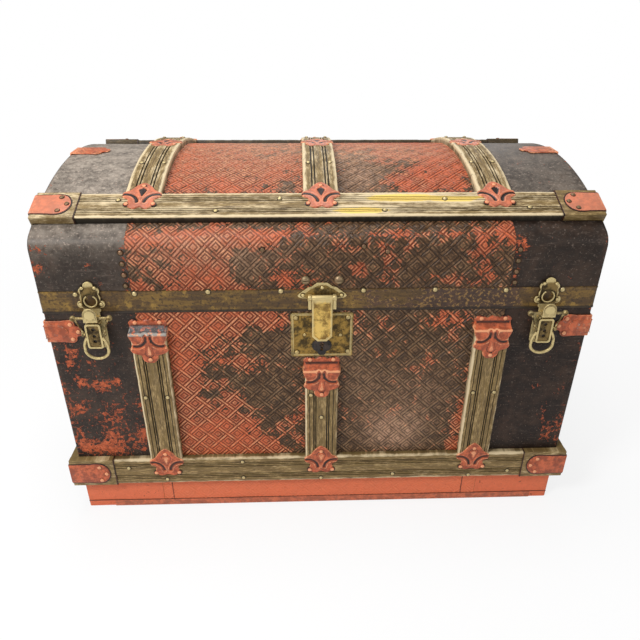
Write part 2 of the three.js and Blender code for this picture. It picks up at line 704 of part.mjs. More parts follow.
function addCrossSlats() {
  const foot = Math.atan2(slat.width / 2, trunk.archRadius + seat);
  const end = shoulderSlatAngle - foot - seat / trunk.archRadius;
  const outline = slatOutline(wideGrooveShares, slat.wideGrooveWidth);
  const points = outline.getPoints(1).map((p) => new THREE.Vector2(p.x, p.y + seat));
  const rise = Math.hypot(trunk.archRadius + slatStand, slat.width / 2) - trunk.archRadius;
  const claspLow = rise + seat;
  const claspHigh = claspLow + clasp.thickness;
  const spread = clasp.height / trunk.archRadius;
  const middle = end + seat / trunk.archRadius + spread * (claspOverlapShare - 0.5);
  const low = middle + spread / 2;
  const high = middle - spread / 2;
  const mask = plate(fleurOutline(), claspHigh + overrun).translate(0, 0, -clasp.height / 2);
  const shoulderMask = ontoDome(mask.clone(), middle);
  const rootStand = slatStand - rootDepth;
  const cover = common(domeClasp(high, low, claspLow, claspHigh), shoulderMask);
  const root = common(domeClasp(high, end, rootStand, claspHigh), shoulderMask);
  const crestBand = domeClasp(-spread / 2, spread / 2, rootStand, slatStand + clasp.thickness);
  const crest = common(crestBand, ontoDome(mask, 0));
  const frontClasp = join(cover, root);
  const backClasp = frontClasp.clone().rotateZ(Math.PI);
  const slatBar = overDome(new THREE.Shape(points), -end, end, crossSlatFacets);
  const whole = join(slatBar, frontClasp, backClasp, crest);
  for (const [side, x] of [['left', -outerSlatX], ['middle', 0], ['right', outerSlatX]]) {
    addPiece(model, `cross_slat_${side}`, whole.clone(), 'wood').position.x = x;
  }
}

// Lock: a brass plate and a dark escutcheon on the front, a case let into the front board,
// and a bolt that slides through the eye of the hasp's staple

const escutcheonHalfShares = [
  [0, 0], [0.3, 0.06], [0.42, 0.2], [0.7, 0.16], [0.96, 0.3], [1, 0.5], [0.86, 0.68],
  [0.56, 0.72], [0.4, 0.92], [0, 1],
];

function keyShape(height) {
  const shape = new THREE.Path();
  const half = keyhole.slotWidth / 2;
  const corner = Math.asin(half / keyhole.radius);
  shape.moveTo(-half, height - keyhole.slotLength);
  shape.lineTo(half, height - keyhole.slotLength);
  shape.absarc(0, height, keyhole.radius, corner - Math.PI / 2, 1.5 * Math.PI - corner, false);
  return shape;
}

function addLock() {
  const keyHeight = trunk.opening - escutcheon.drop;
  const top = trunk.opening - lockPlate.drop;
  const half = lockPlate.width / 2;
  const low = top - lockPlate.height;
  const outline = roundedRectangle([-half, low], [half, top], lockPlate.cornerRadius);
  const slotHalf = staple.width / 2 + staple.slotGap;
  const slotReach = staple.height / 2 + staple.slotGap;
  const slot = roundedRectangle(
    [-slotHalf, stapleMiddle - slotReach],
    [slotHalf, stapleMiddle + slotReach],
    staple.slotGap,
  );
  outline.holes.push(slot, keyShape(keyHeight));
  addPiece(front, 'lock_plate', plate(outline, lockPlate.thickness, seat, holeFacets), 'brass');

  const lobes = mirroredOutline(escutcheonHalfShares, escutcheon.width / 2, escutcheon.height);
  const rise = keyHeight - escutcheon.height / 2;
  const face = new THREE.Shape(lobes.getPoints(1).map((p) => new THREE.Vector2(p.x, p.y + rise)));
  face.holes.push(keyShape(keyHeight));
  const stand = seat * 2 + lockPlate.thickness;
  addPiece(front, 'keyhole_escutcheon', plate(face, escutcheon.thickness, stand, holeFacets), 'iron');
}

function addLockCase() {
  const half = lockCase.width / 2;
  const top = trunk.opening - lockCase.drop;
  const bottom = top - lockCase.height;
  const inner = lockCase.depth - lockCase.wall;
  const shelfTop = stapleMiddle - lockBolt.height / 2 - runningGap;
  const shelfFrom = lockBolt.start + staple.width;
  const boltDepth = [staple.eyeDepth - lockBolt.depth / 2, staple.eyeDepth + lockBolt.depth / 2];
  const innerHalf = half - lockCase.wall;
  const innerHeight = [bottom + lockCase.wall, top - lockCase.wall];
  const tub = cut(
    block([-half, half], [0, lockCase.depth], [bottom, top]),
    block([-innerHalf, innerHalf], [-overrun, inner], innerHeight),
  );
  const shelfHeight = [shelfTop - lockBolt.shelfThickness, shelfTop];
  const shelf = block([shelfFrom, half - bite], [boltDepth[0], inner + bite], shelfHeight);
  addPiece(front, 'lock_case', join(tub, shelf), 'iron');
  const boltHeight = [stapleMiddle - lockBolt.height / 2, stapleMiddle + lockBolt.height / 2];
  const bolt = block([lockBolt.start, lockBolt.start + lockBolt.length], boltDepth, boltHeight);
  addPiece(front, 'lock_bolt', bolt, 'brass');
}

// Hasp: hangs from a plate on the lid's edge band, and its staple enters the lock

const haspPlateHalfShares = [
  [0.5, 0], [0.66, 0.1], [1, 0.42], [0.93, 0.56], [0.62, 0.66], [0.54, 0.8], [0.28, 1],
];

function mirroredPolygon(halfShares, halfSpan, height, low) {
  const rightSide = halfShares.map(([x, z]) => new THREE.Vector2(x * halfSpan, low + z * height));
  const leftSide = rightSide.map((p) => new THREE.Vector2(-p.x, p.y)).reverse();
  return new THREE.Shape([...rightSide, ...leftSide]);
}

function addHasp() {
  const half = hasp.width / 2;
  const height = haspPivotHeight;
  const low = trunk.opening + haspPlate.rise;
  const stand = bandStand + seat;
  const outline = mirroredPolygon(haspPlateHalfShares, haspPlate.width / 2, haspPlate.height, low);
  const earIn = half + pinGap;
  const earOut = earIn + haspBarrel.earWidth;
  const { radius, pinRadius } = haspBarrel;
  const pieces = [plate(outline, haspPlate.thickness, stand)];
  for (const [from, to] of [[-earOut, -earIn], [earIn, earOut]]) {
    pieces.push(rodX(radius, from, to, haspBarrel.stand, height));
    const root = [-haspBarrel.stand, -stand - haspPlate.thickness / 2];
    pieces.push(block([from, to], root, [height - radius + bite, height + radius - bite]));
  }
  pieces.push(rodX(pinRadius, -earOut + bite, earOut - bite, haspBarrel.stand, height));
  addPiece(front, 'hasp_plate', join(...pieces), 'antiqueBrass');

  const inner = haspBarrel.stand - hasp.thickness / 2;
  const tongue = haspShape(half, height);
  const rim = haspShape(half, height);
  rim.holes.push(haspShape(half - hasp.rimWidth, height - hasp.rimWidth - radius, hasp.rimWidth));
  const stapleLow = stapleMiddle - staple.height / 2;
  const stapleTop = stapleMiddle + staple.height / 2;
  const profile = new THREE.Shape([
    new THREE.Vector2(-inner - bite, stapleLow),
    new THREE.Vector2(0, stapleLow),
    new THREE.Vector2(staple.depth, stapleLow + staple.taper),
    new THREE.Vector2(staple.depth, stapleTop),
    new THREE.Vector2(-inner - bite, stapleTop),
  ]);
  const bar = barX(profile, -staple.width / 2, staple.width / 2);
  const eye = block(
    [-staple.width, staple.width],
    [staple.eyeDepth - staple.eye / 2, staple.eyeDepth + staple.eye / 2],
    [stapleMiddle - staple.eye / 2, stapleMiddle + staple.eye / 2],
  );
  const solid = join(
    plate(tongue, hasp.thickness, inner),
    plate(rim, hasp.rimRise + bite, inner + hasp.thickness - bite),
    rodX(radius, -half, half, haspBarrel.stand, height),
    cut(bar, eye),
  );
  const bore = rodX(pinRadius + pinGap, -half - overrun, half + overrun, haspBarrel.stand, height);
  addPiece(front, 'hasp', cut(solid, bore), 'brass');
}

function haspShape(half, top, inset = 0) {
  const bottom = haspPivotHeight - hasp.length + inset;
  const chamfer = hasp.chamfer - inset / 2;
  return new THREE.Shape([
    new THREE.Vector2(-half + chamfer, bottom),
    new THREE.Vector2(half - chamfer, bottom),
    new THREE.Vector2(half, bottom + chamfer),
    new THREE.Vector2(half, top),
    new THREE.Vector2(-half, top),
    new THREE.Vector2(-half, bottom + chamfer),
  ]);
}

// Drawbolts: a keeper with a hook on the lid, and on the body a base, a lever with a finger
// loop, and a link whose crossbar lies in the hook. Each is built on x = 0.

const keeperHalfShares = [
  [0, 0], [0.96, 0], [1, 0.06], [0.76, 0.28], [0.52, 0.5], [0.4, 0.61], [0.42, 0.69],
  [0.64, 0.75], [0.68, 0.85], [0.46, 0.91], [0.26, 0.89], [0.17, 0.98], [0, 1.02],
];

function keeperGeometry() {
  const stand = bandStand + seat;
  const low = trunk.opening + keeper.rise;
  const outline = mirroredOutline(keeperHalfShares, keeper.halfWidth, keeper.height);
  const body = plate(outline, keeper.thickness, stand).translate(0, 0, low);
  const window = new THREE.Shape();
  const { halfWidth: reach, rise, height } = keeperWindow;
  window.moveTo(-reach, trunk.opening + rise);
  window.lineTo(reach, trunk.opening + rise);
  window.quadraticCurveTo(reach / 2, trunk.opening + rise + height, 0, trunk.opening + rise + height);
  window.quadraticCurveTo(-reach / 2, trunk.opening + rise + height, -reach, trunk.opening + rise);
  const opening = plate(window, keeper.thickness + overrun * 2, stand - overrun);

  const shelfTop = crossbarHeight - link.rod - runningGap;
  const shelfLow = shelfTop - hook.thickness;
  const lipIn = linkStand + link.rod + hook.slack;
  const half = hook.width / 2;
  const riser = block([-half, half], [-stand - keeper.thickness, -stand], [shelfLow, low + bite]);
  const shelf = block([-half, half], [-lipIn - hook.thickness, -stand], [shelfLow, shelfTop]);
  const lip = new THREE.Shape();
  lip.moveTo(-half, shelfLow);
  lip.lineTo(half, shelfLow);
  lip.absarc(0, shelfLow + hook.lipHeight - half, half, 0, Math.PI, false);
  return join(cut(body, opening), riser, shelf, plate(lip, hook.thickness, lipIn));
}

function tube(path, radius, steps) {
  const section = new THREE.Shape();
  section.absarc(0, 0, radius, 0, Math.PI * 2, false);
  const options = { steps, curveSegments: tubeSides / 2, extrudePath: path };
  return new THREE.ExtrudeGeometry(section, options);
}

function rodBetween(from, to, radius) {
  const path = new THREE.LineCurve3(new THREE.Vector3(...from), new THREE.Vector3(...to));
  return tube(path, radius, 1);
}

function drawboltBaseGeometry() {
  const top = leverPivotHeight + drawboltBase.topRise;
  const half = drawboltBase.width / 2;
  const outline = new THREE.Shape();
  outline.moveTo(half, top);
  outline.lineTo(-half, top);
  outline.absarc(0, top - drawboltBase.height + half, half, Math.PI, Math.PI * 2, false);
  const pieces = [plate(outline, drawboltBase.thickness, seat)];
  const earIn = lever.barrelWidth / 2 + pinGap;
  const earOut = earIn + lever.earWidth;
  const earHalf = lever.earRadius - bite;
  const earHeight = [leverPivotHeight - earHalf, leverPivotHeight + earHalf];
  for (const [from, to] of [[-earOut, -earIn], [earIn, earOut]]) {
    pieces.push(rodX(lever.earRadius, from, to, lever.pivotStand, leverPivotHeight));
    pieces.push(block([from, to], [-lever.pivotStand, -seat - drawboltBase.thickness / 2], earHeight));
  }
  const pinHalf = earOut - bite;
  pieces.push(rodX(lever.pinRadius, -pinHalf, pinHalf, lever.pivotStand, leverPivotHeight));
  return join(...pieces);
}

function leverGeometry() {
  const half = lever.width / 2;
  const top = leverPivotHeight + lever.topRise;
  const inner = lever.pivotStand + lever.faceStand;
  const outline = roundedRectangle([-half, top - lever.length], [half, top], lever.thickness);
  for (const share of leverHoleShares) {
    const hole = new THREE.Path();
    hole.absarc(0, top - share * lever.length, lever.holeRadius, 0, Math.PI * 2, true);
    outline.holes.push(hole);
  }
  const barrelHalf = lever.barrelWidth / 2;
  const webHalf = lever.barrelRadius - bite;
  const web = block(
    [-barrelHalf, barrelHalf],
    [-inner - bite, -lever.pivotStand],
    [leverPivotHeight - webHalf, leverPivotHeight + webHalf],
  );
  const pinHalf = half + runningGap + link.eyeWidth + link.pinEnd;
  const solid = join(
    plate(outline, lever.thickness, inner, holeFacets),
    rodX(lever.barrelRadius, -barrelHalf, barrelHalf, lever.pivotStand, leverPivotHeight),
    web,
    rodX(link.pinRadius, -pinHalf, pinHalf, linkStand, linkPivotHeight),
    fingerLoop(),
  );
  const bore = rodX(lever.pinRadius + pinGap, -half, half, lever.pivotStand, leverPivotHeight);
  return cut(solid, bore);
}

function fingerLoop() {
  const { radius, rod, top, bottom, flare, facets } = leverLoop;
  const low = leverPivotHeight - bottom + rod + radius;
  const start = (lever.width - rod) / 2;
  const rightSide = [[start, leverPivotHeight - top], [radius, leverPivotHeight - top - flare]];
  const leftSide = rightSide.map(([x, z]) => [-x, z]).reverse();
  const round = new THREE.EllipseCurve(0, low, radius, radius, 0, -Math.PI, true).getPoints(facets / 2);
  const outline = [...rightSide, ...round.map((p) => [p.x, p.y]), ...leftSide];
  const points = outline.map(([x, z]) => new THREE.Vector3(x, -linkStand, z));
  return tube(new THREE.CatmullRomCurve3(points, false, 'centripetal'), rod, facets);
}

function linkGeometry() {
  const eyeIn = lever.width / 2 + runningGap;
  const eyeOut = eyeIn + link.eyeWidth;
  const crossbar = rodX(link.rod, -link.halfSpan, link.halfSpan, linkStand, crossbarHeight);
  const pieces = [];
  const bores = [];
  for (const side of [-1, 1]) {
    const from = Math.min(side * eyeIn, side * eyeOut);
    const to = Math.max(side * eyeIn, side * eyeOut);
    const eyeMiddle = (from + to) / 2;
    const ball = new THREE.SphereGeometry(link.ballRadius, rodSides, rodSides / 2);
    pieces.push(rodX(link.eyeRadius, from, to, linkStand, linkPivotHeight));
    pieces.push(rodBetween(
      [eyeMiddle, -linkStand, linkPivotHeight],
      [side * (link.halfSpan - link.rod), -linkStand, crossbarHeight],
      Math.min(link.rod, link.eyeWidth / 2 - pinGap / 2),
    ));
    pieces.push(ball.translate(side * link.halfSpan, -linkStand, crossbarHeight));
    const boreRadius = link.pinRadius + pinGap;
    bores.push(rodX(boreRadius, from - bite, to + bite, linkStand, linkPivotHeight));
  }
  return cut(join(crossbar, ...pieces), ...bores);
}

function addDrawbolts() {
  for (const [name, side] of [['left', -1], ['right', 1]]) {
    const x = side * drawboltX;
    addPiece(front, `drawbolt_keeper_${name}`, keeperGeometry(), 'antiqueBrass').position.x = x;
    addPiece(front, `drawbolt_base_${name}`, drawboltBaseGeometry(), 'antiqueBrass').position.x = x;
    addPiece(front, `drawbolt_lever_${name}`, leverGeometry(), 'antiqueBrass').position.x = x;
    addPiece(front, `drawbolt_link_${name}`, linkGeometry(), 'antiqueBrass').position.x = x;
  }
}

// Handles: a stitched leather loop that hangs and turns in two stamped caps on each end

function handleCap(side) {
  const outer = side * (handle.capSpacing + handle.capLength) / 2;
  const mouth = side * (handle.capSpacing - handle.capLength) / 2;
  const closed = outer - side * handle.capWall;
  const low = Math.min(outer, mouth);
  const high = Math.max(outer, mouth);
  const bore = handle.strapRadius + pinGap;
  const radius = bore + handle.capWall;
  const half = handle.capHeight / 2;
  const outline = roundedRectangle([low, -half], [high, half], handle.capRound);
  const flange = plate(outline, handle.capFlange, seat);
  const dome = rodX(radius, low, high, handleStand, 0, capSides);
  const root = block([low, high], [-handleStand, -seat], [-radius, radius]);
  const ends = [closed, mouth - side * overrun];
  const hole = rodX(bore, Math.min(...ends), Math.max(...ends), handleStand, 0, capSides);
  return cut(join(flange, dome, root), hole).translate(0, 0, handle.height);
}

function handleStrap() {
  const end = (handle.capSpacing + handle.capLength) / 2 - handle.capWall - runningGap;
  const mouth = (handle.capSpacing - handle.capLength) / 2;
  const loop = loopHalfShares.map(([x, z]) => [-x * mouth, -z * handle.drop]);
  const leftHalf = [[-end, 0], [-(end + mouth) / 2, 0], [-mouth, 0], ...loop];
  const rightHalf = leftHalf.map(([x, z]) => [-x, z]).reverse();
  const points = [...leftHalf, ...rightHalf].map(([x, z]) => new THREE.Vector3(x, 0, z));
  const path = new THREE.CatmullRomCurve3(points, false, 'centripetal');
  return tube(path, handle.strapRadius, handle.strapFacets).translate(0, -handleStand, handle.height);
}

function addHandles() {
  for (const [name, group, toFront] of [['left', left, 1], ['right', right, -1]]) {
    addPiece(group, `handle_cap_front_${name}`, handleCap(toFront), 'redTin');
    addPiece(group, `handle_cap_back_${name}`, handleCap(-toFront), 'redTin');
    addPiece(group, `leather_handle_${name}`, handleStrap(), 'leather');
  }
}

// Hinges: two leaves on the back and a pin, with the outer knuckles on the body's leaf

function hingeLeaf(stand, low, high) {
  const half = hinge.width / 2;
  const outline = roundedRectangle([-half, low], [half, high], hinge.thickness);
  return plate(outline, hinge.thickness, stand);
}

function knuckle(from, to, leafStand, low, high) {
  const reach = [-hingeStand, -leafStand - bite];
  return join(
    rodX(hingeBarrel.radius, from, to, hingeStand, trunk.opening),
    block([from, to], reach, [low, high]),
  );
}

function addHinges() {
  const half = hinge.width / 2;
  const third = half / 3;
  const inner = third - hingeBarrel.gap / 2;
  const outer = third + hingeBarrel.gap / 2;
  const offset = hingeBarrel.radius / 2;
  const lowTop = trunk.opening - offset;
  const highLow = trunk.opening + offset;
  const lower = join(
    hingeLeaf(seat, trunk.opening - hinge.leafHeight, lowTop),
    knuckle(-half, -outer, seat, lowTop - bite, bodyTop),
    knuckle(outer, half, seat, lowTop - bite, bodyTop),
    rodX(hinge.pinRadius, -half + bite, half - bite, hingeStand, trunk.opening),
  );
  const upper = cut(
    join(
      hingeLeaf(upperLeafStand, highLow, trunk.opening + hinge.leafHeight),
      knuckle(-inner, inner, upperLeafStand, trunk.opening + runningGap, highLow + bite),
    ),
    rodX(hinge.pinRadius + pinGap, -half, half, hingeStand, trunk.opening),
  );
  for (const [name, side] of [['left', 1], ['right', -1]]) {
    const x = side * hinge.spacing;
    addPiece(back, `hinge_lower_leaf_${name}`, lower.clone(), 'iron').position.x = x;
    addPiece(back, `hinge_upper_leaf_${name}`, upper.clone(), 'iron').position.x = x;
  }
}

addBodyBoards();
addDustLip();
addBodySheets();
addBottomEdge();
addFrontSlats();
addBottomSlats();
addLidBoards();
addLidSheets();
addEdgeBand();
addShoulderSlats();
addCrossSlats();
addLock();
addLockCase();
addHasp();
addDrawbolts();
addHandles();
addHinges();

export default model;
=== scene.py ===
"""Looks of a dome top trunk: worn stamped tin, grooved slats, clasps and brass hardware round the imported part."""

import math
from contextlib import contextmanager

import bmesh
import bpy
from bpy.props import FloatProperty, FloatVectorProperty, PointerProperty
from mathutils import Matrix, Vector, noise


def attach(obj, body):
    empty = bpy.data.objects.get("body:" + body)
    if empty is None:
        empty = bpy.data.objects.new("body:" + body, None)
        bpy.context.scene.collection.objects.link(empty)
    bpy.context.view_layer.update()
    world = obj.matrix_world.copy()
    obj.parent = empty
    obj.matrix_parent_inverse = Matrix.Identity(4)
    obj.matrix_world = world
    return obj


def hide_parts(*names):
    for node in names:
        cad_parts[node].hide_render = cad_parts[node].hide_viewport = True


bl_info = {
    "name": "Dome Top Trunk",
    "version": (1, 0, 0),
    "blender": (4, 5, 0),
    "location": "3D View > Sidebar > Trunk",
    "description": "Builds the looks of a dome top trunk piece by piece",
    "category": "Add Mesh",
}

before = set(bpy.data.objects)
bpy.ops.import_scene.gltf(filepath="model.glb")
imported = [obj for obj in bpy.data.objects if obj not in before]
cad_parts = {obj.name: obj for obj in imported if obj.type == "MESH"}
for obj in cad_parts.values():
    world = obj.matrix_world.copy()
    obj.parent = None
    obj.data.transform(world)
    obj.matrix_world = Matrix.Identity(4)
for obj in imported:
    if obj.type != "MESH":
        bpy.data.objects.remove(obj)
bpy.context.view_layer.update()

METRE = 1000.0  # the shapes are modelled in millimetres


def linear(red, green, blue):
    """A screen colour, 0 to 255, as scene light."""
    return tuple(((c / 255 + 0.055) / 1.055) ** 2.4 if c > 10 else c / 255 / 12.92 for c in (red, green, blue))


# Sizes and colours that a user would change


def length(name, default, description):
    return FloatProperty(name=name, default=default, min=0.0, unit="LENGTH", description=description)


def colour(name, red, green, blue, description):
    return FloatVectorProperty(
        name=name, subtype="COLOR", size=3, min=0, max=1, default=linear(red, green, blue), description=description
    )


class TrunkSizes(bpy.types.PropertyGroup):
    half_width: length("Half width", 0.4065, "From the middle out to the tin on an end")
    half_depth: length("Half depth", 0.250, "From the middle out to the tin in front")
    opening: length("Opening", 0.385, "Height of the line between body and lid")
    spring: length("Spring", 0.4815, "Height where the lid's wall turns into its shoulder")
    arch_radius: length("Arch radius", 0.510, "Radius of the dome")
    shoulder_radius: length("Shoulder radius", 0.022, "Round between the lid's wall and the dome")
    slat_width: length("Slat width", 0.052, "Width of every slat")
    slat_thickness: length("Slat thickness", 0.011, "Thickness of every slat")
    seam: length("Seam", 0.274, "From the middle to the seam between two sheets")
    weave_pitch: length("Weave pitch", 0.0223, "Side of one square of the stamped weave")
    weave_band: length("Weave band", 0.0054, "Width of the bands between the squares")
    weave_rise: length("Weave rise", 0.0012, "Height of the stamped ridges")


class TrunkColours(bpy.types.PropertyGroup):
    red: colour("Red", 196, 98, 60, "Orange-red paint")
    deep_red: colour("Deep red", 144, 68, 40, "The same paint where it is dirty")
    # Pink also paints highlights on ridges and rims.
    pink: colour("Pink", 236, 166, 120, "Red paint rubbed pale on its ridges")
    black: colour("Black", 34, 23, 17, "Black paint on the plain sheets")
    scuff: colour("Scuff", 150, 130, 116, "Grey scuffs on the black paint")
    olive_black: colour("Olive black", 74, 52, 32, "Black paint on the stamped sheets")
    olive: colour("Olive", 120, 98, 56, "Paint on the slats")
    straw: colour("Straw", 214, 194, 156, "Slat paint where it is rubbed bright")
    umber: colour("Umber", 58, 50, 32, "Dirt in the slats' grooves")
    gold: colour("Gold", 118, 90, 40, "Gold paint on the lid's edge band")
    plum: colour("Plum", 60, 42, 32, "The band where its gold is gone")
    brass: colour("Brass", 186, 158, 74, "Brass")
    tarnish: colour("Tarnish", 58, 48, 24, "Tarnish on the brass")
    bright_brass: colour("Bright brass", 214, 194, 140, "Brass rubbed bright")
    iron: colour("Iron", 44, 41, 40, "Dark iron")
    leather: colour("Leather", 76, 44, 26, "Leather of the handles")
    pine: colour("Pine", 176, 138, 90, "Bare pine inside")


class Millimetres:
    """The panel's sizes in the millimetres of the shapes."""

    def __init__(self, group):
        for key in group.__annotations__:
            setattr(self, key, getattr(group, key) * METRE)


# Finishes


class Nodes:
    """A node tree built socket by socket."""

    def __init__(self, tree):
        self.tree = tree

    def put(self, socket, value):
        if isinstance(value, bpy.types.NodeSocket):
            self.tree.links.new(value, socket)
        else:
            socket.default_value = (*value, 1) if socket.type == "RGBA" else value

    def node(self, kind, output, inputs=None, **settings):
        """One output of a new node with these inputs and settings."""
        node = self.tree.nodes.new("ShaderNode" + kind)
        for key, value in settings.items():
            setattr(node, key, value)
        for key, value in (inputs or {}).items():
            self.put(node.inputs[key], value)
        return node.outputs[output]

    def sum(self, first, second, operation="ADD"):
        return self.node("Math", "Value", {0: first, 1: second}, operation=operation)

    def times(self, first, second):
        return self.sum(first, second, "MULTIPLY")

    def total(self, first, *weighted):
        """The first value plus each (value, weight)."""
        for value, weight in weighted:
            first = self.sum(first, self.times(value, weight))
        return first

    def step(self, value, low, high, dark=0.0, bright=1.0):
        """Dark below low, bright above high, and smooth between."""
        inputs = {"Value": value, "From Min": low, "From Max": high, "To Min": dark, "To Max": bright}
        return self.node("MapRange", "Result", inputs, interpolation_type="SMOOTHSTEP")

    def mix(self, share, first, second):
        return self.node("Mix", 2, {0: share, 6: first, 7: second}, data_type="RGBA")

    def over(self, first, second, value, low, high, dark=0.0, bright=1.0):
        """The second colour over the first where a value steps up."""
        return self.mix(self.step(value, low, high, dark, bright), first, second)


class Finish(Nodes):
    """A material. Its patterns read object coordinates or the piece's own attributes."""

    def __init__(self, name):
        self.material = bpy.data.materials.new(name)
        self.material.use_nodes = True
        super().__init__(self.material.node_tree)
        self.shader = self.tree.nodes["Principled BSDF"]
        self.place = self.node("TexCoord", "Object")

    def noise(self, scale, detail=4, roughness=0.6, vector=None, distortion=0):
        inputs = {"Vector": vector or self.place, "Scale": scale, "Detail": detail}
        return self.node("TexNoise", "Fac", {**inputs, "Roughness": roughness, "Distortion": distortion})

    def stretched(self, scale):
        return self.node("Mapping", "Vector", {"Vector": self.place, "Scale": scale})

    def attribute(self, name):
        return self.node("Attribute", "Fac", attribute_name=name)

    def bump(self, height, distance, strength):
        inputs = {"Height": height, "Distance": distance, "Strength": strength}
        self.put(self.shader.inputs["Normal"], self.node("Bump", "Normal", inputs))

    def surface(self, base, roughness, metallic, specular):
        names = ("Base Color", "Roughness", "Metallic", "Specular IOR Level")
        for key, value in zip(names, (base, roughness, metallic, specular)):
            self.put(self.shader.inputs[key], value)
        return self.material


def embossed_paint(name, colours):
    """Black paint over red on stamped tin. It is rubbed off ridges first, and stays in hollows. Ridges are painted pale
    and grooves dark: wear and dirt, with painted highlight and painted shade.
    """
    f = Finish(name)
    crest = f.attribute("crest")
    cloud = f.noise(30, 5, 0.6)
    ragged = f.noise(110, 5, 0.65)
    fleck = f.noise(260, 4, 0.7)
    grit = f.total(ragged, (fleck, 0.5))
    # dust: pale dust, and on the lid's front left a painted highlight.
    dust = f.times(f.attribute("tint"), f.step(grit, 0.62, 0.86, 0.4, 1.1))
    field = f.total(f.attribute("wear"), (cloud, 0.5), (ragged, 1.9), (fleck, 0.8), (crest, 0.12))
    # bright: ridges rubbed pale, with a painted highlight.
    bright = f.total(f.times(crest, f.sum(cloud, 0.3)), (ragged, 0.8))
    red = f.over(colours.red, colours.deep_red, f.total(cloud, (ragged, 0.6)), 0.68, 0.92)
    red = f.mix(dust, red, linear(184, 132, 104))
    red = f.over(red, colours.pink, bright, 0.95, 1.3, 0, 0.6)
    red = f.over(red, linear(104, 54, 34), fleck, 0.54, 0.64, 0, 0.7)
    # Grooves darkened: dirt with painted shade.
    red = f.over(linear(84, 40, 24), red, crest, 0.0, 0.8, 0.35, 1.0)
    red = f.mix(f.attribute("fresh"), red, linear(222, 116, 78))
    black = f.over(colours.olive_black, linear(114, 84, 56), grit, 0.66, 0.86)
    black = f.mix(dust, black, linear(184, 144, 116))
    # The black likewise: painted highlight on its ridges and painted shade in its grooves, with wear and dirt.
    black = f.over(black, linear(136, 110, 82), bright, 0.98, 1.3, 0, 0.5)
    black = f.over(linear(38, 26, 17), black, crest, 0.0, 0.8, 0.4, 1.0)
    f.bump(f.total(f.times(fleck, 0.5), (ragged, 0.6)), 0.0006, 0.7)
    return f.surface(f.over(black, red, field, 1.97, 2.09), f.step(ragged, 0.3, 0.7, 0.4, 0.6), 0.0, 0.3)


def black_paint(name, colours):
    """Plain sheet: black paint, chipped to red where wear is high, with grey scuffs and specks, and a pale painted
    sheen.
    """
    f = Finish(name)
    # dust: the amount of scuffing, and the strength of the painted sheen.
    dust = f.attribute("tint")
    cloud = f.noise(34, 5, 0.6)
    ragged = f.noise(120, 7, 0.78)
    fleck = f.noise(190, 4, 0.7)
    field = f.total(f.attribute("wear"), (cloud, 0.3), (ragged, 1.7), (fleck, 2.4))
    chipped = f.step(field, 2.9, 2.97)
    red = f.over(colours.red, colours.deep_red, ragged, 0.42, 0.6)
    red = f.over(red, linear(96, 56, 42), f.noise(150, 5, 0.75), 0.5, 0.6, 0, 0.75)
    red = f.mix(f.attribute("fresh"), red, linear(222, 116, 80))
    scratch = f.step(f.noise(60, 8, 0.78, f.stretched((0.5, 0.5, 4))), 0.56, 0.66)
    speck = f.step(f.noise(240, 4, 0.75), 0.57, 0.66)
    scuffed = f.times(f.total(f.times(scratch, 0.4), (speck, 0.9)), f.sum(dust, 0.34))
    # Cloudy patches where a pale painted sheen lies on the black, as strong as dust.
    painted_sheen = f.step(f.total(ragged, (cloud, 0.6)), 0.4, 1.1)
    black = f.over(colours.black, linear(54, 38, 28), cloud, 0.4, 0.66)
    black = f.over(black, linear(20, 13, 10), ragged, 0.48, 0.62, 0, 0.7)
    black = f.mix(scuffed, black, colours.scuff)
    black = f.mix(f.times(painted_sheen, f.times(dust, 0.85)), black, linear(176, 164, 150))
    f.bump(f.total(f.times(fleck, 0.5), (chipped, -0.9)), 0.0006, 0.7)
    return f.surface(f.mix(chipped, black, red), f.step(ragged, 0.3, 0.7, 0.38, 0.6), 0.0, 0.24)


def red_paint(name, colours):
    """Stamped clasps and clamps: orange-red paint, dirty in the hollows, rubbed pale on the ridges. Hollows also carry
    painted shade, ridges a painted highlight, and lid pieces painted light from above.
    """
    f = Finish(name)
    crest = f.attribute("crest")
    cloud = f.noise(80, 5, 0.62)
    ragged = f.noise(150, 6, 0.7)
    fleck = f.noise(260, 5, 0.72)
    base = f.over(colours.red, colours.deep_red, cloud, 0.4, 0.62)
    base = f.over(base, linear(118, 62, 44), ragged, 0.52, 0.6, 0, 0.6)
    base = f.over(base, linear(104, 50, 34), fleck, 0.54, 0.66, 0, 0.5)
    # Pale on ridges: rubbed paint with a painted highlight.
    base = f.over(base, colours.pink, f.total(crest, (fleck, 0.6)), 1.04, 1.26, 0, 0.85)
    # Paler where light from above is painted, on the lid's clasps and pads.
    base = f.mix(f.times(f.attribute("tint"), 0.6), base, linear(214, 142, 114))
    # Near black in hollows: dirt, with painted shadow where crest is set low for it.
    base = f.over(linear(30, 18, 13), base, f.total(crest, (cloud, 0.3)), 0.24, 0.56)
    bare = f.over(linear(52, 46, 44), linear(150, 144, 136), f.total(crest, (ragged, 0.5)), 0.84, 1.05)
    worn = f.total(f.times(f.attribute("wear"), 0.8), (ragged, 0.9))
    f.bump(f.total(fleck, (cloud, 0.8)), 0.0005, 0.6)
    return f.surface(f.over(base, bare, worn, 0.76, 0.84), f.step(fleck, 0.3, 0.7, 0.3, 0.5), 0.0, 0.4)


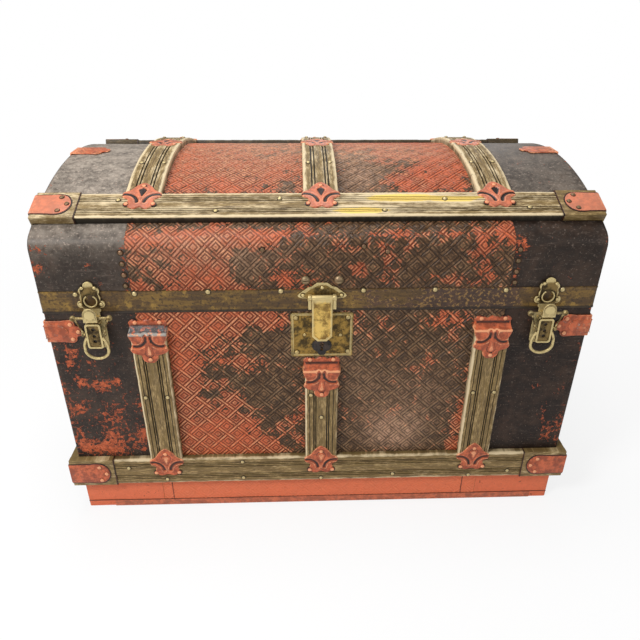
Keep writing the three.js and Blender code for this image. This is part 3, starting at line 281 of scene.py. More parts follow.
def slat_paint(name, colours):
    """Olive paint on grooved wood. The grain follows the slat, and edges are rubbed to straw."""
    f = Finish(name)
    along, across = (f.times(f.attribute(key), 1 / METRE) for key in ("along", "across"))

    def streaks(length, width, layer, detail, roughness):
        """Noise whose scale differs along and across the slat."""
        inputs = {"X": f.times(along, length), "Y": f.times(across, width), "Z": layer}
        return f.noise(1, detail, roughness, f.node("CombineXYZ", "Vector", inputs))

    grain = streaks(24, 260, 0.0, 7, 0.68)
    fibre = streaks(80, 620, 3.0, 6, 0.72)
    cloud = streaks(34, 90, 7.0, 5, 0.62)
    stain = streaks(60, 160, 1.0, 6, 0.7)
    wear = f.attribute("wear")
    base = f.over(linear(96, 76, 44), colours.olive, grain, 0.36, 0.6)
    base = f.over(base, linear(168, 142, 96), f.total(fibre, (cloud, 0.6)), 0.76, 0.98)
    rubbed = f.total(f.times(f.attribute("edge"), 0.42), (fibre, 0.6), (cloud, 0.7), (wear, 0.55))
    base = f.over(base, colours.straw, rubbed, 0.88, 1.2, 0, 0.92)
    base = f.over(base, linear(232, 200, 104), f.total(wear, (grain, 0.9)), 1.3, 1.44)
    base = f.over(base, colours.umber, stain, 0.56, 0.7, 0, 0.5)
    base = f.over(linear(22, 17, 10), base, f.attribute("crest"), 0.1, 0.95)
    f.bump(f.total(f.times(grain, 0.9), (fibre, 0.6)), 0.0005, 0.6)
    return f.surface(base, f.step(grain, 0.3, 0.7, 0.46, 0.7), 0.0, 0.38)


def gold_band_paint(name, colours):
    """The lid's edge band: gold paint, gone to plum where wear is high, and painted dark where crest is low."""
    f = Finish(name)
    crest = f.attribute("crest")
    streak = f.noise(1, 7, 0.68, f.stretched((16, 50, 110)))
    blotch = f.noise(70, 6, 0.7)
    fleck = f.noise(230, 5, 0.7)
    gold = f.over(linear(78, 56, 26), colours.gold, f.total(streak, (blotch, 0.6)), 0.7, 0.92)
    gold = f.over(gold, linear(48, 34, 20), fleck, 0.52, 0.62, 0, 0.8)
    gold = f.over(gold, linear(156, 122, 52), blotch, 0.56, 0.64, 0, 0.6)
    gold = f.over(gold, linear(168, 140, 80), f.total(crest, (fleck, 0.5)), 1.1, 1.3)
    plum = f.over(colours.plum, linear(82, 58, 42), blotch, 0.4, 0.66)
    plum = f.over(plum, linear(146, 112, 60), fleck, 0.52, 0.6, 0, 0.85)
    worn = f.total(f.attribute("wear"), (streak, 0.9), (blotch, 0.9))
    base = f.over(linear(34, 25, 17), f.over(gold, plum, worn, 1.26, 1.4), crest, 0.2, 0.6)
    f.bump(f.total(streak, (fleck, 0.6)), 0.0005, 0.6)
    return f.surface(base, f.step(streak, 0.3, 0.7, 0.36, 0.56), 0.2, 0.5)


def brass(name, colours, bright, dull, rub):
    """Brass with tarnish in its hollows, rubbed bright on its edges."""
    f = Finish(name)
    crest = f.attribute("crest")
    cloud = f.noise(60, 6, 0.7)
    fleck = f.noise(250, 4, 0.7)
    base = f.over(bright, dull, f.total(cloud, (fleck, 0.3)), 0.56, 0.76)
    base = f.over(base, colours.bright_brass, f.total(crest, (fleck, 0.4)), 0.9, 1.15, 0, rub)
    base = f.over(colours.tarnish, base, f.total(crest, (cloud, 0.3)), 0.12, 0.5)
    f.bump(fleck, 0.0002, 0.4)
    return f.surface(base, f.step(cloud, 0.3, 0.7, 0.42, 0.62), 0.7, 0.5)


def iron_paint(name, colours):
    """Dark iron with a little rust."""
    f = Finish(name)
    fleck = f.noise(300, 5, 0.7)
    base = f.over(colours.iron, linear(74, 62, 54), f.noise(80, 5), 0.4, 0.7)
    base = f.over(base, linear(106, 66, 42), f.noise(60, 6, 0.7), 0.62, 0.72)
    f.bump(fleck, 0.0003, 0.5)
    return f.surface(base, f.step(fleck, 0.3, 0.7, 0.38, 0.6), 0.55, 0.5)


def worn_leather(name, colours):
    """Brown leather, dark in patches and scuffed pale."""
    f = Finish(name)
    pores = f.node("TexVoronoi", "Distance", {"Vector": f.place, "Scale": 700})
    cloud = f.noise(60, 5)
    base = f.over(colours.leather, linear(44, 26, 18), cloud, 0.38, 0.66)
    base = f.over(base, linear(128, 82, 52), f.noise(160, 5, 0.7), 0.6, 0.72)
    f.bump(f.total(pores, (cloud, 0.6)), 0.0005, 0.7)
    return f.surface(base, f.step(cloud, 0.3, 0.7, 0.42, 0.62), 0.0, 0.4)


def bare_pine(name, colours, grain_scale):
    """Sawn pine. The grain's scale is small along the board."""
    f = Finish(name)
    rings = f.noise(1, 6, 0.6, f.stretched(grain_scale), 1.4)
    fibre = f.noise(1, 4, 0.7, f.stretched(tuple(s * 5 for s in grain_scale)))
    base = f.over(colours.pine, linear(140, 100, 60), rings, 0.4, 0.6)
    base = f.over(base, linear(112, 78, 48), fibre, 0.5, 0.75, 0, 0.6)
    f.bump(f.sum(rings, fibre), 0.0004, 0.5)
    return f.surface(base, 0.7, 0.0, 0.3)


# Modelling: a primitive is added, shaped in edit mode, and finished with modifiers. Settling
# a piece turns it to metres and gives it its body and finish.


def deselect():
    if bpy.context.object and bpy.context.object.mode != "OBJECT":
        bpy.ops.object.mode_set(mode="OBJECT")
    bpy.ops.object.select_all(action="DESELECT")


def only(piece):
    deselect()
    piece.select_set(True)
    bpy.context.view_layer.objects.active = piece
    return piece


def added(operator, **settings):
    deselect()
    operator(**settings)
    return bpy.context.object


def applied(piece):
    only(piece)
    bpy.ops.object.transform_apply(location=True, rotation=True, scale=True)
    return piece


@contextmanager
def editing(piece):
    """Edit mode on one piece, with all of it selected."""
    only(piece)
    bpy.ops.object.mode_set(mode="EDIT")
    bpy.ops.mesh.select_all(action="SELECT")
    yield
    bpy.ops.object.mode_set(mode="OBJECT")


def outward(piece):
    with editing(piece):
        bpy.ops.mesh.normals_make_consistent(inside=False)
    return piece


def flipped(piece):
    with editing(piece):
        bpy.ops.mesh.flip_normals()
    return piece


def merged(piece, distance=0.005):
    with editing(piece):
        bpy.ops.mesh.remove_doubles(threshold=distance)
    return piece


def at_rim(piece, operator, **settings):
    """Runs an operator on the open edges of a piece."""
    with editing(piece):
        bpy.ops.mesh.select_mode(type="EDGE")
        bpy.ops.mesh.select_all(action="DESELECT")
        bpy.ops.mesh.select_non_manifold(
            extend=False, use_wire=False, use_multi_face=False, use_non_contiguous=False, use_verts=False
        )
        operator(**settings)
        bpy.ops.mesh.select_mode(type="VERT")
    return piece


def closed(piece):
    """Merges doubles, fills what is left open and turns the faces out."""
    return outward(at_rim(merged(piece), bpy.ops.mesh.fill_holes, sides=0))


def cut(piece, planes, trim=False):
    """Cuts a sheet along planes of (point, normal). Trimming removes what lies beyond them."""
    with editing(piece):
        for point, normal in planes:
            bpy.ops.mesh.select_all(action="SELECT")
            bpy.ops.mesh.bisect(plane_co=point, plane_no=normal, clear_outer=trim)
    return piece


def modified(piece, kind, **settings):
    only(piece)
    modifier = piece.modifiers.new(kind.title(), kind)
    for key, value in settings.items():
        setattr(modifier, key, value)
    bpy.ops.object.modifier_apply(modifier=modifier.name)
    return piece


def eased(piece, width, segments=2, **settings):
    """Rounds the edges that are sharper than 30 degrees, or than an angle_limit."""
    if width:
        modified(piece, "BEVEL", width=width, segments=segments, limit_method="ANGLE", **settings)
    return piece


def bored(piece, cutters, operation="DIFFERENCE"):
    """Cuts the cutters out of a piece, or joins them to it with UNION."""
    for cutter in cutters:
        modified(piece, "BOOLEAN", object=cutter, operation=operation, solver="EXACT")
        bpy.data.objects.remove(cutter)
    return piece


def mark(piece, name, values):
    """Sets an attribute of the points: one value, a list, or a function of the point."""
    attribute = piece.data.attributes.get(name) or piece.data.attributes.new(name, "FLOAT", "POINT")
    if callable(values):
        values = [values(v.co) for v in piece.data.vertices]
    elif not isinstance(values, list):
        values = [values] * len(piece.data.vertices)
    attribute.data.foreach_set("value", values)
    return piece


def grid(columns, rows, place, marks=None):
    """A grid whose corner (s, t), each from 0 to 1, goes to place(s, t). marks(s, t) gives its attributes."""
    piece = added(bpy.ops.mesh.primitive_grid_add, x_subdivisions=columns, y_subdivisions=rows, size=2)
    shares = [((v.co.x + 1) / 2, (v.co.y + 1) / 2) for v in piece.data.vertices]
    for vertex, (s, t) in zip(piece.data.vertices, shares):
        vertex.co = place(s, t)
    if marks:
        noted = [marks(s, t) for s, t in shares]
        for key in noted[0]:
            mark(piece, key, [values[key] for values in noted])
    return piece


def joined(pieces):
    deselect()
    for piece in pieces:
        piece.select_set(True)
    bpy.context.view_layer.objects.active = pieces[0]
    if len(pieces) > 1:
        bpy.ops.object.join()
    return bpy.context.view_layer.objects.active


def copied(piece, matrix):
    copy = piece.copy()
    copy.data = piece.data.copy()
    copy.data.transform(matrix)
    bpy.context.scene.collection.objects.link(copy)
    return copy


def mapped(piece, place):
    for vertex in piece.data.vertices:
        vertex.co = place(vertex.co)
    return piece


def mounted(pieces, place):
    """Flat pieces joined and put in their place, with their faces turned out."""
    return outward(mapped(joined(pieces), place))


def settled(piece, name, body, material, nodes=(), smooth=40):
    applied(piece)
    piece.data.transform(Matrix.Scale(1 / METRE, 4))
    piece.name = name
    piece.data.name = name
    piece.data.materials.clear()
    piece.data.materials.append(material)
    bpy.ops.object.shade_smooth_by_angle(angle=math.radians(smooth))
    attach(piece, body)
    if nodes:
        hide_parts(*nodes)


def rubbed(piece, base=0.6):
    """Marks convex edges as rubbed bright and hollow ones as dark."""
    model = bmesh.new()
    model.from_mesh(piece.data)
    values = []
    for vertex in model.verts:
        angles = [edge.calc_face_angle_signed(0) for edge in vertex.link_edges]
        mean = sum(angles) / len(angles) if angles else 0
        values.append(max(0.0, min(1.0, base + mean * 1.1)))
    model.free()
    mark(piece, "crest", values)
    return mark(piece, "wear", 0.0)


# Places

BOTTOM_SLAT = 87.0
MIDDLE_CLAMP = 355.0
OUTER_SLAT = 258.0
DRAWBOLT = 333.5
SLAT_TOPS = {-1: 354.0, 0: 285.0, 1: 354.0}
SHOULDER_TURN = math.radians(22.6)
DOME_CLASP_TURN = math.radians(23.59)
CROSS_SLAT_TURN = math.radians(19.65)
FOOT = BOTTOM_SLAT - 20  # below this the front was painted again
TIN_EDGE = 0.5  # from the tin's edge to the line between body and lid
HALF_TURN = Matrix.Diagonal((-1, -1, 1))
SEAM_GAP = 0.3
SLAT_REACH = 11.3  # from the tin on an end to the bottom slat's end
BAND_HEIGHT = 35.0
SIDES = ((-1, "left"), (1, "right"))
SLATS = ((-1, "left"), (0, "middle"), (1, "right"))


def wall_place(side, along, height, out):
    """A point on a wall, from how far it lies along it as seen from outside, its height and its stand."""
    sizes = bpy.context.scene.trunk_sizes
    depth = sizes.half_depth * METRE + out
    width = sizes.half_width * METRE + out
    return {
        "front": Vector((along, -depth, height)),
        "back": Vector((-along, depth, height)),
        "left": Vector((-width, -along, height)),
        "right": Vector((width, along, height)),
    }[side]


class LidSection:
    """The line across the lid, from its front edge over the dome to its back edge."""

    def __init__(self, sizes):
        self.depth, self.spring = sizes.half_depth, sizes.spring
        self.start = sizes.opening + TIN_EDGE
        self.radius, self.round = sizes.arch_radius, sizes.shoulder_radius
        self.turn = math.asin((self.depth - self.round) / (self.radius - self.round))
        self.centre = self.spring - (self.radius - self.round) * math.cos(self.turn)
        self.wall = self.spring - self.start
        self.bend = self.round * (math.pi / 2 - self.turn)
        self.crest = self.wall + self.bend + self.radius * self.turn
        self.length = 2 * self.crest
        self.dome_clasp = self.crest - self.radius * DOME_CLASP_TURN

    def at(self, run, out=0.0):
        """The (y, z) at a run from the front edge, stood out from the tin."""
        if run > self.crest:
            y, z = self.at(self.length - run, out)
            return -y, z
        if run < self.wall:
            return -self.depth - out, self.start + run
        if run < self.wall + self.bend:
            angle = (run - self.wall) / self.round
            reach = self.round + out
            return self.round - self.depth - reach * math.cos(angle), self.spring + reach * math.sin(angle)
        angle = (self.crest - run) / self.radius
        reach = self.radius + out
        return -reach * math.sin(angle), self.centre + reach * math.cos(angle)

    def place(self, x, run, out=0.0):
        return Vector((x, *self.at(run, out)))


def on_wall(side, stand=0.0, x=0.0, y=0.0):
    """Maps flat work onto a wall: x along it as seen from outside, y up, z outwards."""
    return lambda co: wall_place(side, co.x + x, co.y + y, co.z + stand)


def on_lid(section, stand=0.0, x=0.0, run=0.0):
    return lambda co: section.place(co.x + x, co.y + run, co.z + stand)


def turned_on_lid(section, stand, x, run):
    """Maps flat work onto the back of the lid, as if the trunk had been turned round."""
    place = on_lid(section, stand, x, run)
    return lambda co: HALF_TURN @ place(co)


def corner_place(section, kind, back=False):
    """Maps (along the trunk, in from the front, up the slat's width) onto the trunk at a slat's height."""
    turn = SHOULDER_TURN if kind == "shoulder" else 0
    heights = {"bottom": BOTTOM_SLAT, "middle": MIDDLE_CLAMP}

    def place(x, inward, up):
        spot = Vector((x, inward - section.depth, heights.get(kind, 0) + up))
        if kind not in heights:
            radius = section.radius - inward
            spot.y = up * math.cos(turn) - radius * math.sin(turn)
            spot.z = section.centre + radius * math.cos(turn) + up * math.sin(turn)
        return HALF_TURN @ spot if back else spot

    return place


def corner_maps(place, width, side):
    """Maps flat work onto the long face and onto the end at a corner: x from the corner, y up, z out."""
    along = lambda co: place(side * (width + co.x), -co.z, co.y)
    across = lambda co: place(side * (width + co.z), co.x, co.y)
    return along, across


def flat_places(points, stand):
    """Puts flat work at points of other flat work."""
    return [lambda co, x=x, y=y: Vector((co.x + x, co.y + y, co.z + stand)) for x, y in points]


def both_sides(near, far):
    """The stretches from near to far on the left and on the right."""
    return (-far, -near), (near, far)


def blobs(x, z, spots):
    """The summed strength of soft ovals (x, z, half width, half height, strength) at a point."""
    total = 0.0
    for bx, bz, rx, rz, strength in spots:
        d = ((x - bx) / rx) ** 2 + ((z - bz) / rz) ** 2
        if d < 4:
            total += strength * math.exp(-d)
    return total


def ruffle(x, y, z, scale):
    return noise.noise(Vector((x * scale, y * scale, z * scale)))


# Shapes, modelled flat: x and y across the sheet, z out of it


def block(low, high, bevel=0.5, segments=2):
    piece = added(bpy.ops.mesh.primitive_cube_add, size=1)
    mapped(piece, lambda co: Vector(h if c > 0 else l for c, l, h in zip(co, low, high)))
    return eased(piece, bevel, segments)


def plate(points, low, high, bevel=0.4, segments=2):
    """A flat plate with the outline of the points, from one height to another, its edges eased."""
    piece = added(bpy.ops.mesh.primitive_circle_add, vertices=len(points), radius=10, fill_type="NGON")
    for vertex, (x, y) in zip(piece.data.vertices, points):
        vertex.co = (x, y, low)
    with editing(piece):
        bpy.ops.mesh.extrude_region_move(TRANSFORM_OT_translate={"value": (0, 0, high - low)})
    return eased(outward(piece), bevel, segments, angle_limit=math.radians(50))


def rod(start, end, radius, sides=20, bevel=0.3):
    start, end = Vector(start), Vector(end)
    way = end - start
    turn = way.to_track_quat("Z", "Y").to_euler()
    piece = added(
        bpy.ops.mesh.primitive_cylinder_add,
        vertices=sides, radius=radius, depth=way.length, location=(start + end) / 2, rotation=turn,
    )
    return eased(applied(piece), bevel)


def tube(path, radius, sides=12):
    """A round bar that follows a path of points, its ends closed."""
    path = [Vector(p) for p in path]
    frames = []
    normal = None
    for i, point in enumerate(path):
        way = (path[min(i + 1, len(path) - 1)] - path[max(i - 1, 0)]).normalized()
        normal = way.orthogonal() if normal is None else normal - way * normal.dot(way)
        normal.normalize()
        frames.append((point, normal.copy(), way.cross(normal)))

    def place(s, t):
        point, side, up = frames[round(s * (len(path) - 1))]
        angle = -2 * math.pi * t
        size = radius(s) if callable(radius) else radius
        return point + (side * math.cos(angle) + up * math.sin(angle)) * size

    return closed(grid(len(path) - 1, sides, place))


def lathed(profile, sides=12, centre=(0, 0, 0)):
    """Turns a profile of (radius, height) about a line along Z. A radius of 0 closes an end."""
    def place(s, t):
        radius, height = profile[round(t * (len(profile) - 1))]
        angle = 2 * math.pi * s
        return Vector(centre) + Vector((radius * math.cos(angle), radius * math.sin(angle), height))

    return closed(grid(sides, len(profile) - 1, place))


def smooth_line(points, steps=5):
    """A curve through the points, from the second to the last but one."""
    out = []
    points = [Vector(point) for point in points]
    for a, b, c, d in zip(points, points[1:], points[2:], points[3:]):
        for step in range(steps):
            t = step / steps
            bent = (2 * a - 5 * b + 4 * c - d) * t * t
            out.append(0.5 * ((2 * b) + (c - a) * t + bent + (3 * b - a - 3 * c + d) * t ** 3))
    return [tuple(p) for p in out]


def smooth_loop(points, steps=5):
    """A closed curve through the points."""
    return smooth_line([points[-1], *points, points[0], points[1]], steps)


def mirrored(half):
    """An outline from its right half, whose points on the middle line aren't repeated."""
    return half + [(-x, y) for x, y in reversed(half) if x]


def arc(cx, cy, rx, ry, degrees):
    """Points of an ellipse at these angles."""
    return [(cx + rx * math.cos(math.radians(a)), cy + ry * math.sin(math.radians(a))) for a in degrees]


def rounded_outline(low, high, radius, steps=5):
    (x0, y0), (x1, y1) = low, high
    left, right, bottom, top = x0 + radius, x1 - radius, y0 + radius, y1 - radius
    out = []
    for cx, cy, start in ((right, bottom, -90), (right, top, 0), (left, top, 90), (left, bottom, 180)):
        out += arc(cx, cy, radius, radius, [start + 90 * step / steps for step in range(steps + 1)])
    return out


def finely(points, step):
    """The same line with more points, so that no stretch is much longer than a step."""
    out = []
    for a, b in zip(points, points[1:]):
        pieces = max(1, round(math.dist(a, b) / step))
        out += [(a[0] + (b[0] - a[0]) * i / pieces, a[1] + (b[1] - a[1]) * i / pieces) for i in range(pieces)]
    return out + [points[-1]]


ROUND_END = [(30, 0.96), (22, 1.0), (14, 0.96), (8, 0.82), (3.6, 0.58), (1, 0.3), (0, 0.0)]
LOBED_END = [(30, 0.94), (24, 0.98), (16, 1.0), (11, 0.82), (9.6, 0.55), (7, 0.42), (2, 0.36), (0, 0.0)]


def leg_outline(start, end, half, lobed=True):
    """A strip from start, where it is square, to an end that is round or has three lobes."""
    sign = 1 if end > start else -1
    side = [(share * half, back) for back, share in (LOBED_END if lobed else ROUND_END)]
    curve = [(back, y) for y, back in mirrored(side)]
    out = smooth_line([curve[0], *curve, curve[-1]], 4) + [curve[-1]]
    out = [(start, half * 0.94)] + [(end - sign * back, y) for back, y in out] + [(start, -half * 0.94)]
    return out[::-1] if sign > 0 else out


# The first point, sunk below the tin, makes the dark ring of painted shadow round a nail.
NAIL_SHARES = [(1.35, -0.3), (1.32, 0.04), (1.04, 0.06), (0.98, 0.3), (0.8, 0.66), (0.45, 0.9), (0, 0.98)]
NAIL_SIDES = 10


def nails(places, radius=3.3, rise=2.4, top=1.0):
    """Domed nail heads. Each place maps flat work onto its own spot. The crest paints a highlight on the head, up to
    top, and a shadow on the sunk ring round its foot.
    """
    model = lathed([(radius * r, rise * z) for r, z in NAIL_SHARES], NAIL_SIDES)
    mark(model, "crest", lambda co: max(0.0, min(top, co.z / rise * 1.6)))
    mark(model, "wear", 0.0)
    made = [mapped(copied(model, Matrix.Rotation(i * 0.7, 4, "Z")), place) for i, place in enumerate(places)]
    bpy.data.objects.remove(model)
    return outward(joined(made))


# Stamped weave: one tile of bands round ridged squares, repeated, trimmed to size and hemmed

SQUARE_CORNERS = [(1, 1), (-1, 1), (-1, -1), (1, -1), (1, 1)]
SQUARE_RINGS = [
    (0, 0), (0.08, 0), (0.18, 0.85), (0.3, 0.85), (0.44, 0.05), (0.55, 0.05), (0.68, 0.8), (0.82, 0.8), (1, 0.35),
]
BAND_LINES = [(-1, 0), (-0.78, 0), (-0.4, 1), (0.4, 1), (0.78, 0), (1, 0)]
FRONT_PHASE, LID_PHASE = (9, 14), (15, 6)
HEM = 1.1


def weave_sheet(width, height, sizes, phase):
    """A flat sheet stamped with a weave of bands at 45 degrees round ridged squares."""
    pitch, half_band, rise = sizes.weave_pitch, sizes.weave_band / 2, sizes.weave_rise
    lines = [(share * half_band, lift * rise) for share, lift in BAND_LINES]
    stops = (half_band, half_band + 0.7, pitch - half_band - 0.7, pitch - half_band)

    def square(s, t):
        x, y = SQUARE_CORNERS[round(s * 4)]
        share, lift = SQUARE_RINGS[round(t * 8)]
        reach = (pitch / 2 - half_band) * (1 - share)
        return Vector((pitch / 2 + x * reach, pitch / 2 + y * reach, rise * lift))

    def band(s, t):
        stop = round(s * 3)
        across, lift = lines[round(t * 5)]
        return Vector((stops[stop], across, lift if 0 < stop < 3 else 0))

    def crossing(s, t):
        return Vector((half_band * (2 * s - 1), *lines[round(t * 5)]))

    quarter_turn = Matrix.Rotation(math.pi / 2, 4, "Z")
    beside = Matrix.Translation((pitch, 0, 0))
    cell = [grid(4, 8, square), grid(3, 5, band)]
    cell.append(copied(cell[1], quarter_turn))
    cell.append(grid(1, 5, crossing))
    pieces = cell + [copied(piece, beside) for piece in cell[:3]]
    pieces.append(copied(cell[3], beside @ quarter_turn))
    tile = joined(pieces)
    tile.data.transform(Matrix.Rotation(math.pi / 4, 4, "Z"))
    period = pitch * math.sqrt(2)
    tile.data.transform(Matrix.Translation((phase[0] - period, phase[1] - period, 0)))
    for offset, reach in (((period, 0, 0), width), ((0, period, 0), height)):
        modified(
            tile, "ARRAY", count=math.ceil(reach / period) + 3, use_relative_offset=False,
            use_constant_offset=True, constant_offset_displace=offset,
        )
    sides = [((0, 0, 0), (-1, 0, 0)), ((width, 0, 0), (1, 0, 0)), ((0, 0, 0), (0, -1, 0)), ((0, height, 0), (0, 1, 0))]
    outward(cut(merged(tile, 0.02), sides, trim=True))
    if sum(face.normal.z for face in tile.data.polygons) < 0:
        flipped(tile)
    mark(tile, "crest", lambda co: co.z / rise if co.z < rise * 0.95 else 0.76)
    return at_rim(tile, bpy.ops.mesh.extrude_region_move, TRANSFORM_OT_translate={"value": (0, 0, -HEM)})


def square_share(x, y, sizes, phase):
    """A little more or less wear for each square of the weave."""
    pitch = sizes.weave_pitch * math.sqrt(2)
    u, v = math.floor((x + y - sum(phase)) / pitch), math.floor((y - x - phase[1] + phase[0]) / pitch)
    return 0.3 * ruffle(u * 0.73 + 0.3, v * 0.61 + 0.7, 0.5, 1.0)


def patchy(co):
    """A little more or less wear in patches about 30 mm across."""
    return 0.34 * ruffle(co.x, co.y, 7, 0.034)


# Grooved slats. Grooves are (share of the width, width, depth), up to the middle, and mirrored.

NARROW_GROOVES = [(0.2, 2.0, 1.8), (0.27, 2.0, 1.8), (0.34, 2.0, 1.6)]
WIDE_GROOVES = [(0.26, 2.4, 2.2), (0.35, 2.4, 2.0)]
FRONT_GROOVES = [(0.14, 1.4, 1.0), (0.27, 2.2, 2.0), (0.33, 2.2, 2.0)]
SLAT_STAND = 0.3


def slat_profile(width, thickness, grooves):
    """(across, out, edge, crest) round the top of a slat, from one foot to the other."""
    half = width / 2
    left = [
        (-half, 0, 0.5, 0.6), (-half, thickness * 0.5, 0.5, 0.7), (-half, thickness - 2.2, 1, 1),
        (-half + 0.7, thickness - 0.7, 1, 1), (-half + 2.0, thickness - 0.1, 1, 1),
    ]
    points, last = list(left), -half + 2.0
    for share, wide, deep in grooves + [(1 - share, wide, deep) for share, wide, deep in reversed(grooves)]:
        middle = (share * 2 - 1) * half
        low, high = middle - wide / 2, middle + wide / 2
        if low - last > 4:
            points.append(((low + last) / 2, thickness, 0, 1))
        points += [
            (low, thickness, 0.35, 1), (middle - wide * 0.22, thickness - deep, 0, 0.1),
            (middle + wide * 0.22, thickness - deep, 0, 0.1), (high, thickness, 0.35, 1),
        ]
        last = high
    points.append(((last + half - 2) / 2, thickness, 0, 1))
    return points + [(-a, o, e, c) for a, o, e, c in reversed(left)]


def slat(sizes, start, end, place, worn, seed, grooves=NARROW_GROOVES, shade=lambda across, out: 1.0):
    """A slat from start to end. place(along, across, out) puts a point of it on the trunk. shade(across, out) dims its
    edge and crest, a painted shade.
    """
    profile = slat_profile(sizes.slat_width, sizes.slat_thickness, grooves)
    rows = max(2, round(abs(end - start) / 6))
    last = len(profile) - 1

    def spot(s, t):
        along = start + (end - start) * s
        across, out, edge, crest = profile[round(t * last)]
        if edge == 1:
            nick = ruffle(along + seed, across, 0, 0.045) + 0.6 * ruffle(along, across, seed, 0.17)
            out -= 0.7 * max(0, nick + 0.15)
            across -= math.copysign(0.5 * max(0, nick + 0.1), across)
        elif crest > 0.8:
            out -= 0.35 * max(0, ruffle(along, across, seed + 5, 0.06))
        return place(along, across, SLAT_STAND + out)

    def notes(s, t):
        along = start + (end - start) * s
        across, out, edge, crest = profile[round(t * last)]
        dim = shade(across, out)
        wood = {"along": along + seed * 37, "across": across + seed * 11}
        return {**wood, "edge": edge * dim, "crest": crest * dim, "wear": worn(along, across)}

    return outward(at_rim(grid(rows, last, spot, notes), bpy.ops.mesh.fill))


# Stamped clasps: a lobed plate with a drop and two leaves pressed into it. Outlines are (height,
# half width) as shares, up the clasp.

FLEUR = [
    (0.0, 0.34), (0.04, 0.52), (0.08, 0.63), (0.14, 0.7), (0.2, 0.71), (0.26, 0.66), (0.31, 0.62), (0.36, 0.7),
    (0.41, 0.9), (0.46, 0.98), (0.51, 1.0), (0.57, 0.96), (0.62, 0.84), (0.66, 0.66), (0.72, 0.57), (0.8, 0.47),
    (0.88, 0.34), (0.94, 0.22), (0.98, 0.11), (1.0, 0.03),
]
HOOD = [
    (0.0, 0.06), (0.02, 0.2), (0.054, 0.32), (0.095, 0.4), (0.14, 0.43), (0.17, 0.42), (0.2, 0.5), (0.225, 0.74),
    (0.26, 0.92), (0.3, 0.98), (0.35, 0.95), (0.4, 0.88), (0.45, 0.84), (0.5, 0.87), (0.56, 0.94), (0.63, 1.0),
    (0.69, 1.02), (0.76, 0.98), (0.86, 0.95), (0.92, 1.0), (0.97, 0.98), (1.0, 0.9),
]
CLASP_WIDTH = 58.0
HOOD_HEIGHT = 74.0
HOOD_BEND = 50.0  # a hood lies on the slat's face up to here, and goes down to the tin above it
HOOD_SLOPE = 15.0
CLASP_STAND = 12.0


def share_at(shares, v):
    for (v0, w0), (v1, w1) in zip(shares, shares[1:]):
        if v <= v1:
            return w0 + (w1 - w0) * (v - v0) / (v1 - v0)
    return shares[-1][1]


def soft(distance, width):
    """One inside a shape, falling smoothly to zero within a width of its edge."""
    x = max(0.0, min(1.0, 0.5 - distance / width))
    return x * x * (3 - 2 * x)


def arc_distance(u, v, cu, cv, radius, start, end):
    """Distance to a stretch of a circle's edge. Angles in degrees."""
    if start <= math.degrees(math.atan2(v - cv, u - cu)) % 360 <= end:
        return abs(math.hypot(u - cu, v - cv) - radius)
    return min(math.hypot(u - x, v - y) for x, y in arc(cu, cv, radius, radius, (start, end)))


def drop_distance(u, v, top, tip, wide):
    """Distance outside a drop that is round at its top and comes down to a tip."""
    if v > top - wide:
        return math.hypot(u, v - (top - wide)) - wide
    t = max(0.0, min(1.0, (v - tip) / (top - wide - tip)))
    return max(abs(u) - wide * t ** 0.8, tip - v)


def pressed(u, v, hood, boss):
    """How deep the pattern is at (u, v), in units of half a clasp, its lit rim, and the raised drop and its ring."""
    u = abs(u)
    if hood:
        drop = drop_distance(u, 1.66 - v, 1.2, 0.44, 0.15)
        leaf = arc_distance(u, v, 0.62, 1.52, 0.5, 160, 288) - 0.085
    else:
        drop = drop_distance(u, v, 1.5, 0.86, 0.19)
        leaf = arc_distance(u, v, 0.78, 0.42, 0.6, 68, 176) - 0.085
    near = leaf if boss else min(drop, leaf)
    raised = (soft(drop + 0.02, 0.12), soft(abs(drop - 0.07) - 0.03, 0.07)) if boss else (0.0, 0.0)
    return soft(near, 0.07), soft(abs(near - 0.06) - 0.03, 0.08), *raised


def clasp(place, seed, hood=False, relief=1.0, hollow=0.4, boss=True, bare=0.12):
    """A clasp, or the hood at a slat's top. place(x, y, out) puts a point of it on the trunk."""
    shares, height, rows = (HOOD, HOOD_HEIGHT, 54) if hood else (FLEUR, CLASP_WIDTH, 44)
    half = CLASP_WIDTH / 2

    def point(s, t):
        """Its (u, v), its distance from the side, how near it is to a hood's bend, and the pattern there."""
        share = share_at(shares, t)
        u, v = (2 * s - 1) * share, t
        if t < 0.12 and not hood:
            v = t + 0.06 * max(0, 1 - abs(u) / 0.3) * (1 - t / 0.12)
        if t > 0.88 and hood:
            v = t - 0.05 * (1 - abs(math.cos(math.pi * u * 1.5))) * (t - 0.88) / 0.12
        fold = math.exp(-((v * height - HOOD_BEND) / 2.6) ** 2) if hood else 0.0
        return u, v, (share - abs(u)) * half, fold, pressed(u, v * 2 * height / CLASP_WIDTH, hood, boss)

    def shaped(s, t):
        u, v, inside, fold, (depth, rim, drop, ring) = point(s, t)
        if s in (0, 1) or t in (0, 1):
            return place(u * half, v * height, -1.2)
        edge = min(inside, t * height, (1 - t) * height) / 2.2
        swell = 0.9 * math.sqrt(max(0, min(1, edge)))
        wave = 0.35 * ruffle(u * 3, v * 3, seed, 1.0)
        out = swell - 1.1 * depth + 0.7 * (rim + 2.2 * fold) + drop - 0.5 * ring + wave
        return place(u * half, v * height, relief * out)

    def notes(s, t):
        _, v, inside, fold, (depth, rim, drop, ring) = point(s, t)
        # Crest: hollows and the ring round a raised drop are dark, dirt with painted shade; rims, the drop and a hood's
        # bend are pale, worn paint with painted highlight; the outer edge is pale with wear. A hood is darker where its
        # slope meets the tin.
        crest = 0.54 - hollow * depth + 0.4 * rim + 0.34 * drop - 0.4 * ring + (0.3 if inside < 1.6 else 0)
        past = v * height - HOOD_BEND
        if hood:
            crest += 0.5 * fold - 0.4 * math.exp(-((past - 14) / 3.5) ** 2)
        return {"crest": max(0.0, crest), "wear": bare if hood and -2.4 < past < 13.6 else 0.12}

    return grid(36, rows, shaped, notes)
